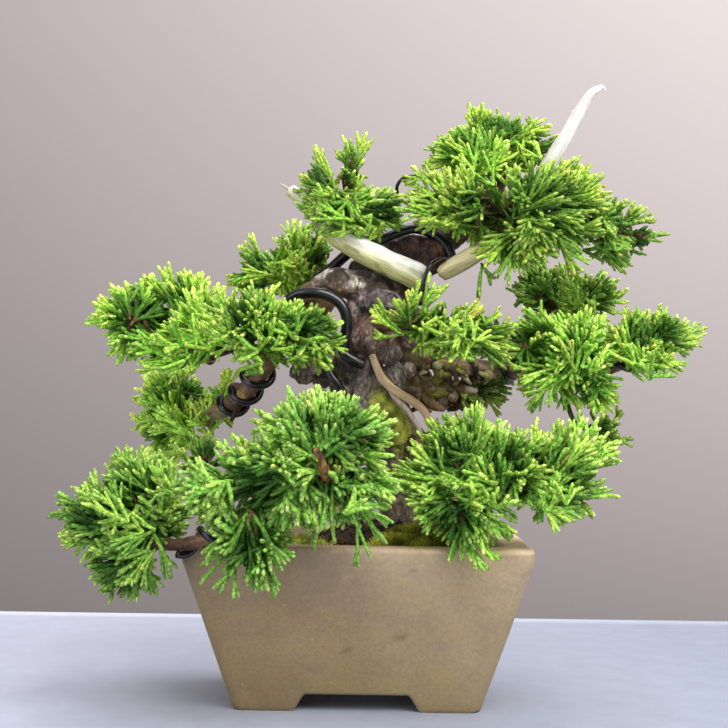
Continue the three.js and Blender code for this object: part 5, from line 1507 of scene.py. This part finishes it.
def fans(b, O, target, tone, rng, up=0.15, fat=1.0, spread=23.0, count=5, flat=0.75, reach=(0.7, 1.1), woody=0.2, most=5):
    """Fan-like clusters of sprays: each grows from O towards target, with its outer sprays splayed."""
    n = len(O)
    if n == 0:
        return
    D = target - O
    size = np.linalg.norm(D, axis=1)
    d = unit(D)
    pn = np.array([0, 1.0, 0]) * rng.choice([-1, 1], n)[:, None] + rng.normal(0, flat, (n, 3))
    pn = unit(pn - (pn * d).sum(1, keepdims=True) * d)
    e = np.cross(pn, d)
    a = np.radians(np.linspace(-spread, spread, count) if count > 1 else np.zeros(1))[None] + np.radians(rng.normal(0, 5, (n, count)))
    be = np.radians(rng.normal(0, 12, (n, count)))
    k = np.clip(np.abs(a) / math.radians(max(spread, 20)), 0, 1)
    s0 = (0.26 * (1 - 0.8 * k) * rng.uniform(0.4, 1.3, (n, count))).clip(0, 0.4) * (count > 1)
    start = O[:, None] + d[:, None] * (s0 * size[:, None])[..., None]
    direct = unit(d[:, None] * np.cos(a)[..., None] + e[:, None] * np.sin(a)[..., None] + pn[:, None] * np.sin(be)[..., None])
    tip = O[:, None] + direct * (size[:, None] * (1 - 0.1 * k**2) * rng.uniform(*reach, (n, count)))[..., None]
    on = (rng.random((n, count)) > (0.06 if count > 2 else -1)).ravel()
    pl = np.repeat(pn, count, 0) + rng.normal(0, 0.35, (n * count, 3))
    sprays(b, start.reshape(-1, 3)[on], tip.reshape(-1, 3)[on], tone, rng, pl[on], up=up, fat=fat, woody=woody, most=most)
    if count < 3:
        return
    # the woody axis of each fan
    K = 4
    P = bent(O - d * 1.0, d, size * 0.55 + 1.0, rng.normal(0, 0.1, (n, 3)), K)
    C = np.broadcast_to(TWIG, (n, K, 3)) * rng.uniform(0.4, 1.2, (n, 1, 1))
    g = np.array([0, 0.2, 0.6, 1.0])[None, :, None]
    C = C * (1 - g) + MID * tone.bright * g
    shoot_tubes(b, P, np.broadcast_to(np.array([0.6, 0.58, 0.55, 0.5]), (n, K)).copy(), C, perp(d, rng), rng)


def foliage_piece(name, balls):
    rng = np.random.default_rng(zlib.crc32(name.encode()))
    look = dict(LOOK[name])
    patch, up, fat = look.pop("patch"), look.pop("up", 0.15), look.pop("fat", 1.0)
    bare_under = look.pop("bare_under", 0.35)
    tone = Tone(balls, **look)
    b = Build()
    src = [CARRIERS[s] for s in SOURCES[name]]
    for bi, ball in enumerate(balls):
        c, r = np.array(ball[:3], float), np.array(ball[3:], float)
        # the nearest place on the limbs that carry this cushion
        best = None
        for cv in src:
            d = np.linalg.norm(cv.p - c, axis=1)
            i = int(np.argmin(d))
            if best is None or d[i] < best[0]:
                best = (d[i], cv.p[i])
        root = best[1]
        off = root - c
        rho = np.linalg.norm(off / r)
        core = c + off * (min(1.0, 0.4 / max(rho, 1e-6)))
        hubs = np.array([core + rng.normal(0, 1, 3) * r * [0.3, 0.3, 0.15] for _ in range(4)])
        for h in hubs:
            mid = (root + h) / 2 + rng.normal(0, 1.2, 3) + [0, 0, -0.8]
            cv = Curve([root, mid, h], [1.2, 0.95, 0.7], 6)
            v, q, t, *_ = sweep(cv, 6, 6, bark_bump(7))
            b.add(v, q, t, TWIG * rng.uniform(0.4, 1.0))
        p = 1.6075
        area = 4 * math.pi * (((r[0] * r[1]) ** p + (r[0] * r[2]) ** p + (r[1] * r[2]) ** p) / 3) ** (1 / p)
        n = max(6, int(area / (patch * 5.0)))
        inner = n // 6
        s = np.vstack([fibonacci(n, rng), unit(rng.normal(size=(inner, 3)))])
        s = unit(s + rng.normal(0, 0.16, s.shape))
        far = rng.uniform(0.78, 1.08, n + inner) * (1 + 0.26 * noise(s * 2.0 + c, 1.1, 3))
        far[n:] *= 0.62
        target = c + s * r * far[:, None]
        # only where the cushion's own other lumps don't cover it
        keep = np.ones(n + inner, bool)
        for bj, other in enumerate(balls):
            if bj != bi:
                q = np.linalg.norm((target - other[:3]) / np.array(other[3:]), axis=1)
                keep &= q > 0.74
        keep &= ~((s[:, 2] < -0.5) & (rng.random(n + inner) < bare_under))
        # the viewer's side is left to the long shoots of HERO
        if name in HERO:
            keep &= ~((s[:, 1] < -0.3) & (rng.random(n + inner) < 0.82))
            keep &= ~((np.abs(s[:, 1]) < 0.3) & (rng.random(n + inner) < (0.75 if r[0] < 7 else 0.3)))
        target, s = target[keep], s[keep]
        m = len(target)
        hub = hubs[rng.integers(0, len(hubs), m)]
        way = unit(unit(target - hub) + unit(s * r) * 0.3 + rng.normal(0, 0.16, (m, 3)))
        size = np.clip(np.linalg.norm(target - hub, axis=1) * rng.uniform(0.8, 1.1, m), 9.5, 18)
        O = target - way * size[:, None]
        # kept inside the cushion
        q = np.linalg.norm((O - c) / r, axis=1)
        O = np.where((q > 0.85)[:, None], c + (O - c) * (0.85 / np.maximum(q, 0.85))[:, None], O)
        fans(b, O, target, tone, rng, up=up, fat=fat)
        for h, o in zip(hub[:m], O):
            if np.linalg.norm(o - h) > 2:
                cv = Curve([h, (h + o) / 2 + rng.normal(0, 0.6, 3), o], [0.62, 0.58, 0.5], 4)
                v, q, t, *_ = sweep(cv, 4, 4, caps=False)
                b.add(v, q, None, TWIG * rng.uniform(0.3, 0.9))
    for spec in HERO.get(name, []):
        reaching(b, spec, tone, rng, up, fat)
    for pts, radii in TWIGS.get(name, []):
        sv, sq, st, _, _, _ = sweep(Curve([at_pixel(*q) for q in pts], radii), 14, 40, lambda u, t, p: 1 + 0.3 * fbm(p, 2.6, 3, 12))
        k = smooth(-0.3, 0.4, fbm(sv, 1.5, 3, 14))[:, None]
        b.add(sv, sq, st, np.array([0.045, 0.02, 0.008]) * (1 - k) + np.array([0.3, 0.15, 0.05]) * k)
    ob = b.piece(name + "_sprays", MAT["foliage"], "foliage", name)
    return len(ob.data.polygons)


def reaching(b, spec, tone, rng, up, fat):
    """Long shoots that reach from a hub to places on the cushion's outline, with shorter ones before them."""
    (ox, oy), y, tips = spec[:3]
    opts = dict(spec[3]) if len(spec) > 3 else {}
    single, fat = opts.pop("single", False), fat * opts.pop("fat", 1.0)
    n = len(tips)
    O = at_pixel(ox, oy, y) + rng.normal(0, 0.9 if single else 2.8, (n, 3)) * [1.2, 1.4, 0.8]
    T = np.array([at_pixel(px, py, y + rng.uniform(-5, 5)) for px, py in tips])
    D = T - O
    L = np.linalg.norm(D, axis=1)
    size = np.clip(L * 0.7, 6, 30 if single else 17)
    start = T - unit(D) * size[:, None]
    t = np.linspace(0, 1, 4)[None, :, None]
    P = O[:, None] * (1 - t) + start[:, None] * t + rng.normal(0, 0.35, (n, 1, 3)) * (t * (1 - t) * 4)
    g = np.array([0, 0.5, 1.0, 1.0])[None, :, None]
    C = TWIG * rng.uniform(0.6, 1.3, (n, 1, 1)) * (1 - g) + tone.colour(P, np.zeros(4), np.zeros(n), np.zeros(n), np.zeros(n)) * g
    shoot_tubes(b, P, np.full((n, 4), 0.72 * fat), C, perp(unit(D), rng), rng)
    if single:
        fans(b, start, T, tone, rng, up=up, fat=fat, spread=0, count=1, reach=(1, 1), woody=-1, most=opts.get("most", 3))
        return
    fans(b, start, T, tone, rng, up=up * 0.5, fat=fat, spread=17, count=3, flat=0.4, reach=(0.66, 1.0), woody=-1, most=4)
    # nearer layers lie almost across the view, each shorter and further out than the one behind it
    for f, out, count, spread in ((0.82, 3.0, 2, 15), (0.56, 6.0, 2, 18), (0.34, 8.5, 2, 24)):
        turn = np.radians(rng.normal(0, 13, n))
        across = np.stack([D[:, 0] * np.cos(turn) - D[:, 2] * np.sin(turn), D[:, 1], D[:, 0] * np.sin(turn) + D[:, 2] * np.cos(turn)], 1)
        T2 = O + across * (f * rng.uniform(0.86, 1.1, n))[:, None] + rng.normal(0, 2.0, (n, 3)) - [0, out, 0]
        S2 = O + rng.normal(0, 3.2, (n, 3)) - [0, out * 0.72, 0]
        S2 = T2 + unit(S2 - T2) * np.clip(np.linalg.norm(S2 - T2, axis=1), 8, 21)[:, None]
        fans(b, S2, T2, tone, rng, up=up * 1.1 + 0.1, fat=fat, spread=spread, count=count, flat=0.3, reach=(0.62, 1.12), woody=0.06, most=4)


# twigs that show between the shoots: pixels and depth, radii
TWIGS = {
    "foliage_front_low": [([(320, 469, -50), (326, 480, -68), (325, 470, -84), (316, 448, -86)], [2.4, 2.3, 1.9, 1.2])],
}
# hub pixel, depth, outline pixels
HERO = {
    "foliage_front_low": [
        ((322, 450), -72, [(258, 432), (276, 410), (292, 396), (303, 394), (317, 390), (331, 394), (348, 394), (365, 402), (387, 413), (395, 445), (394, 461)]),
        ((304, 470), -72, [(224, 462), (229, 479), (219, 501), (246, 520), (256, 447), (242, 444), (317, 528), (298, 533), (276, 533)]),
        ((333, 465), -77, [(328, 545), (315, 554), (318, 529)], {"single": True, "most": 1, "fat": 0.8}),
        ((348, 496), -77, [(366, 561), (389, 540), (382, 528)], {"single": True, "most": 2, "fat": 0.75}),
        ((342, 482), -62, [(333, 514), (341, 522), (350, 518), (324, 516), (358, 522), (315, 510), (367, 518)]),
        ((355, 490), -74, [(399, 499), (390, 478)]),
        ((250, 528), -74, [(200, 580), (217, 589), (245, 585), (253, 579), (268, 589), (283, 590), (275, 583), (228, 570)], {"single": True, "most": 2, "fat": 0.9}),
        ((250, 512), -78, [(206, 558), (232, 566), (262, 568), (285, 560), (222, 548)], {"single": True, "most": 4}),
        ((229, 496), -74, [(174, 474), (181, 494), (190, 508), (198, 516), (205, 526)]),
    ],
    "foliage_left_far_low": [
        ((168, 506), -44, [(113, 460), (124, 453), (144, 450), (161, 458)]),
        ((137, 525), -44, [(53, 501), (54, 508), (76, 484), (88, 491), (56, 523), (57, 535), (67, 550)]),
        ((147, 545), -44, [(86, 550), (91, 574), (90, 586), (108, 594), (120, 604), (130, 592), (140, 588)]),
        ((150, 518), -44, [(180, 500), (187, 508), (186, 520), (178, 530)]),
    ],
    "foliage_left_tuft": [((210, 494), -24, [(195, 438), (204, 432), (190, 448), (181, 449)], {"single": True, "most": 6})],
    "foliage_left_low_rear": [
        ((190, 426), 38, [(134, 391), (131, 415), (141, 438), (156, 455), (172, 462), (151, 382), (141, 367), (151, 371), (172, 388)]),
        ((212, 416), 34, [(228, 362), (233, 380), (222, 398), (226, 412), (206, 402), (190, 414)]),
    ],
    "foliage_left_main": [
        ((205, 346), 0, [(90, 313), (97, 326), (110, 353), (110, 292), (127, 284), (139, 275), (159, 274), (178, 275), (191, 276), (205, 276), (216, 276), (142, 365)]),
        ((232, 335), -4, [(159, 333), (176, 353), (194, 362)]),
    ],
    "foliage_left_front": [
        ((266, 351), -33, [(208, 298), (241, 289), (257, 279), (279, 298), (291, 360), (236, 350)]),
        ((290, 345), -33, [(326, 306), (338, 318), (344, 342), (333, 357), (319, 356), (303, 300)]),
    ],
    "foliage_mid_left_rear": [((288, 275), 24, [(231, 272), (261, 254), (278, 247), (294, 284), (298, 224), (312, 214), (325, 240), (318, 264), (322, 278), (308, 286)])],
    "foliage_upper_left": [
        ((347, 208), -15, [(303, 174), (298, 198), (299, 217), (320, 238), (401, 198), (411, 225), (390, 227), (372, 232)]),
        ((347, 186), -15, [(364, 138), (353, 150)], {"single": True, "most": 3, "fat": 0.9}),
        ((333, 186), -15, [(313, 153), (319, 162)], {"single": True, "most": 3, "fat": 0.9}),
    ],
    "foliage_apex_crown": [
        ((480, 168), 2, [(470, 105), (482, 110), (504, 111), (520, 113), (530, 124), (454, 123), (433, 136), (423, 155), (441, 168), (533, 136)]),
        ((520, 165), 2, [(512, 114), (494, 110), (536, 142)]),
    ],
    "foliage_apex_front": [
        ((529, 219), -20, [(564, 158), (586, 168), (600, 179), (604, 198), (592, 262), (560, 262), (530, 264), (500, 256), (545, 160), (520, 164), (478, 262), (600, 240)]),
        ((468, 208), -18, [(411, 171), (398, 187), (401, 208), (420, 219), (428, 222), (430, 165), (455, 160)]),
        ((483, 262), -18, [(480, 292), (489, 280)], {"single": True, "most": 2}),
    ],
    "foliage_apex_right": [((600, 234), -6, [(608, 199), (626, 198), (650, 214), (655, 236), (646, 249), (635, 258), (618, 263)])],
    "foliage_right_low": [
        ((485, 500), -47, [(435, 433), (458, 410), (469, 412), (496, 419), (506, 428), (414, 450), (407, 458), (529, 436)]),
        ((545, 490), -47, [(549, 442), (566, 426), (594, 420), (603, 420), (616, 434), (616, 452), (598, 462), (592, 476), (588, 486), (584, 498), (570, 511), (553, 506), (534, 508), (512, 500)]),
        ((470, 490), -50, [(385, 474), (420, 501), (428, 517), (438, 521), (450, 527), (473, 529), (455, 542), (400, 486), (505, 538), (514, 526)]),
        ((462, 520), -55, [(455, 561), (474, 566), (488, 562)], {"single": True, "most": 4}),
    ],
    "foliage_right_hanging": [((604, 440), 4, [(590, 412), (622, 412), (626, 440), (598, 452)], {"single": True, "most": 4})],
    "foliage_right_mid": [((573, 362), -8, [(516, 310), (549, 319), (570, 313), (620, 359), (617, 386), (603, 402), (583, 408), (511, 374), (520, 398), (540, 388), (535, 312), (600, 332), (605, 318), (612, 324)])],
    "foliage_right_upper": [((575, 312), 28, [(507, 272), (524, 267), (549, 267), (561, 267), (577, 272), (596, 272), (612, 284), (623, 295), (516, 304)])],
    "foliage_right_far": [((642, 362), -8, [(638, 310), (657, 309), (671, 322), (683, 322), (681, 338), (682, 351), (672, 353), (654, 354), (623, 317), (612, 315)])],
    "foliage_mid_front": [
        ((404, 336), -31, [(376, 306), (370, 318), (376, 335)], {"single": True, "most": 3}),
        ((414, 326), -31, [(404, 290), (412, 284), (420, 294), (447, 296), (438, 304), (396, 300), (431, 282), (441, 288)], {"single": True, "most": 2}),
        ((452, 336), -30, [(462, 309), (472, 313), (489, 320), (507, 332), (504, 348), (478, 357), (455, 355), (430, 352), (436, 314), (421, 342)]),
    ],
}

total = {}
for name, balls in FOLIAGE.items():
    total[name] = foliage_piece(name, balls)
print("foliage", sum(total.values()), total)

# ---------------------------------------------------------------- finishes of the CAD pieces that stay
for n, ob in NODES.items():
    mat = None
    if n.startswith("drainage_screen"):
        mat = MAT["plastic"]
    elif n.startswith("screen_clip") or n == "tie_wire":
        mat = MAT["metal"]
    if mat:
        ob.data.materials.clear()
        ob.data.materials.append(mat)


# ---------------------------------------------------------------- floor and light
def floor():
    m, nt, b = new_material("table", 0.6, 0.3)
    vec = coords(nt)
    across = node(nt, "ShaderNodeSeparateXYZ", {"Vector": vec})
    # painted shade: the table darker towards the right, against the key light there
    side = node(nt, "ShaderNodeMapRange", {"Value": across.outputs["X"], "From Min": -0.15, "From Max": 0.15}).outputs["Result"]
    base = ramp(nt, side, [(0.0, (0.405, 0.44, 0.545)), (1.0, (0.255, 0.296, 0.372))])
    edge = node(nt, "ShaderNodeMapRange", {"Value": across.outputs["Y"], "From Min": 0.196, "From Max": 0.204}).outputs["Result"]
    base = mix(nt, base, ramp(nt, edge, [(0.0, (1, 1, 1)), (1.0, (1.35, 1.35, 1.3))]))
    nt.links.new(mix(nt, base, ramp(nt, noise_node(nt, vec, 1000 / 14, 4.0, 0.6), [(0.3, (0.95,) * 3), (0.7, (1.05,) * 3)])), b.inputs["Base Color"])
    me = bpy.data.meshes.new("table")
    x0, x1, y0, y1, z = -1.6, 1.6, -1.8, 0.2113, -0.00002
    me.from_pydata([(x0, y0, z), (x1, y0, z), (x1, y1, z), (x0, y1, z)], [], [(0, 1, 2, 3)])
    me.materials.append(m)
    ob = bpy.data.objects.new("table", me)
    bpy.context.scene.collection.objects.link(ob)


floor()


def area(name, loc, target, size, power, colour):
    d = bpy.data.lights.new(name, "AREA")
    d.shape, d.size = "DISK", size
    d.energy, d.color = power, colour
    ob = bpy.data.objects.new(name, d)
    bpy.context.scene.collection.objects.link(ob)
    ob.location = loc
    ob.rotation_mode = "QUATERNION"
    ob.rotation_quaternion = (Vector(loc) - Vector(target)).to_track_quat("Z", "Y")


area("key", (0.55, -0.8, 1.05), (0, 0, 0.12), 1.1, 21.5, (1.0, 0.985, 0.96))
area("fill", (-1.0, -0.95, 0.6), (0, 0, 0.12), 1.3, 8.6, (0.95, 0.97, 1.0))
area("top", (0.2, 0.3, 1.3), (0, 0, 0.12), 0.9, 11.0, (1.0, 1.0, 1.0))

world = bpy.data.worlds.new("studio")
bpy.context.scene.world = world
world.use_nodes = True
nt = world.node_tree
bg = nt.nodes["Background"]
xyz = node(nt, "ShaderNodeSeparateXYZ", {"Vector": node(nt, "ShaderNodeTexCoord").outputs["Generated"]})
X, Z = xyz.outputs["X"], xyz.outputs["Z"]


def maths(op, a, b):
    n = node(nt, "ShaderNodeMath", operation=op)
    for i, v in enumerate((a, b)):
        if hasattr(v, "is_output"):
            nt.links.new(v, n.inputs[i])
        else:
            n.inputs[i].default_value = v
    return n.outputs[0]


# a plain wall that is lighter towards the upper right
level = maths("ADD", maths("ADD", maths("MULTIPLY", X, 0.367), 0.4025), maths("MULTIPLY", Z, maths("ADD", maths("MULTIPLY", X, 1.14), 0.883)))
level = maths("MINIMUM", maths("MAXIMUM", level, 0.22), 0.8)
colour = node(nt, "ShaderNodeCombineXYZ", {"X": maths("MULTIPLY", level, 1.085), "Y": maths("MULTIPLY", level, 0.965), "Z": maths("MULTIPLY", level, 0.955)})
nt.links.new(colour.outputs[0], bg.inputs["Color"])
bg.inputs["Strength"].default_value = 1.0
bpy.context.scene.view_settings.view_transform = "Standard"

tri = 0
for ob in MADE:
    k = sum(len(p.vertices) - 2 for p in ob.data.polygons)
    tri += k
    if k > 30000:
        print("piece", ob.name, k)
print("triangles made", tri, "pieces", len(MADE))
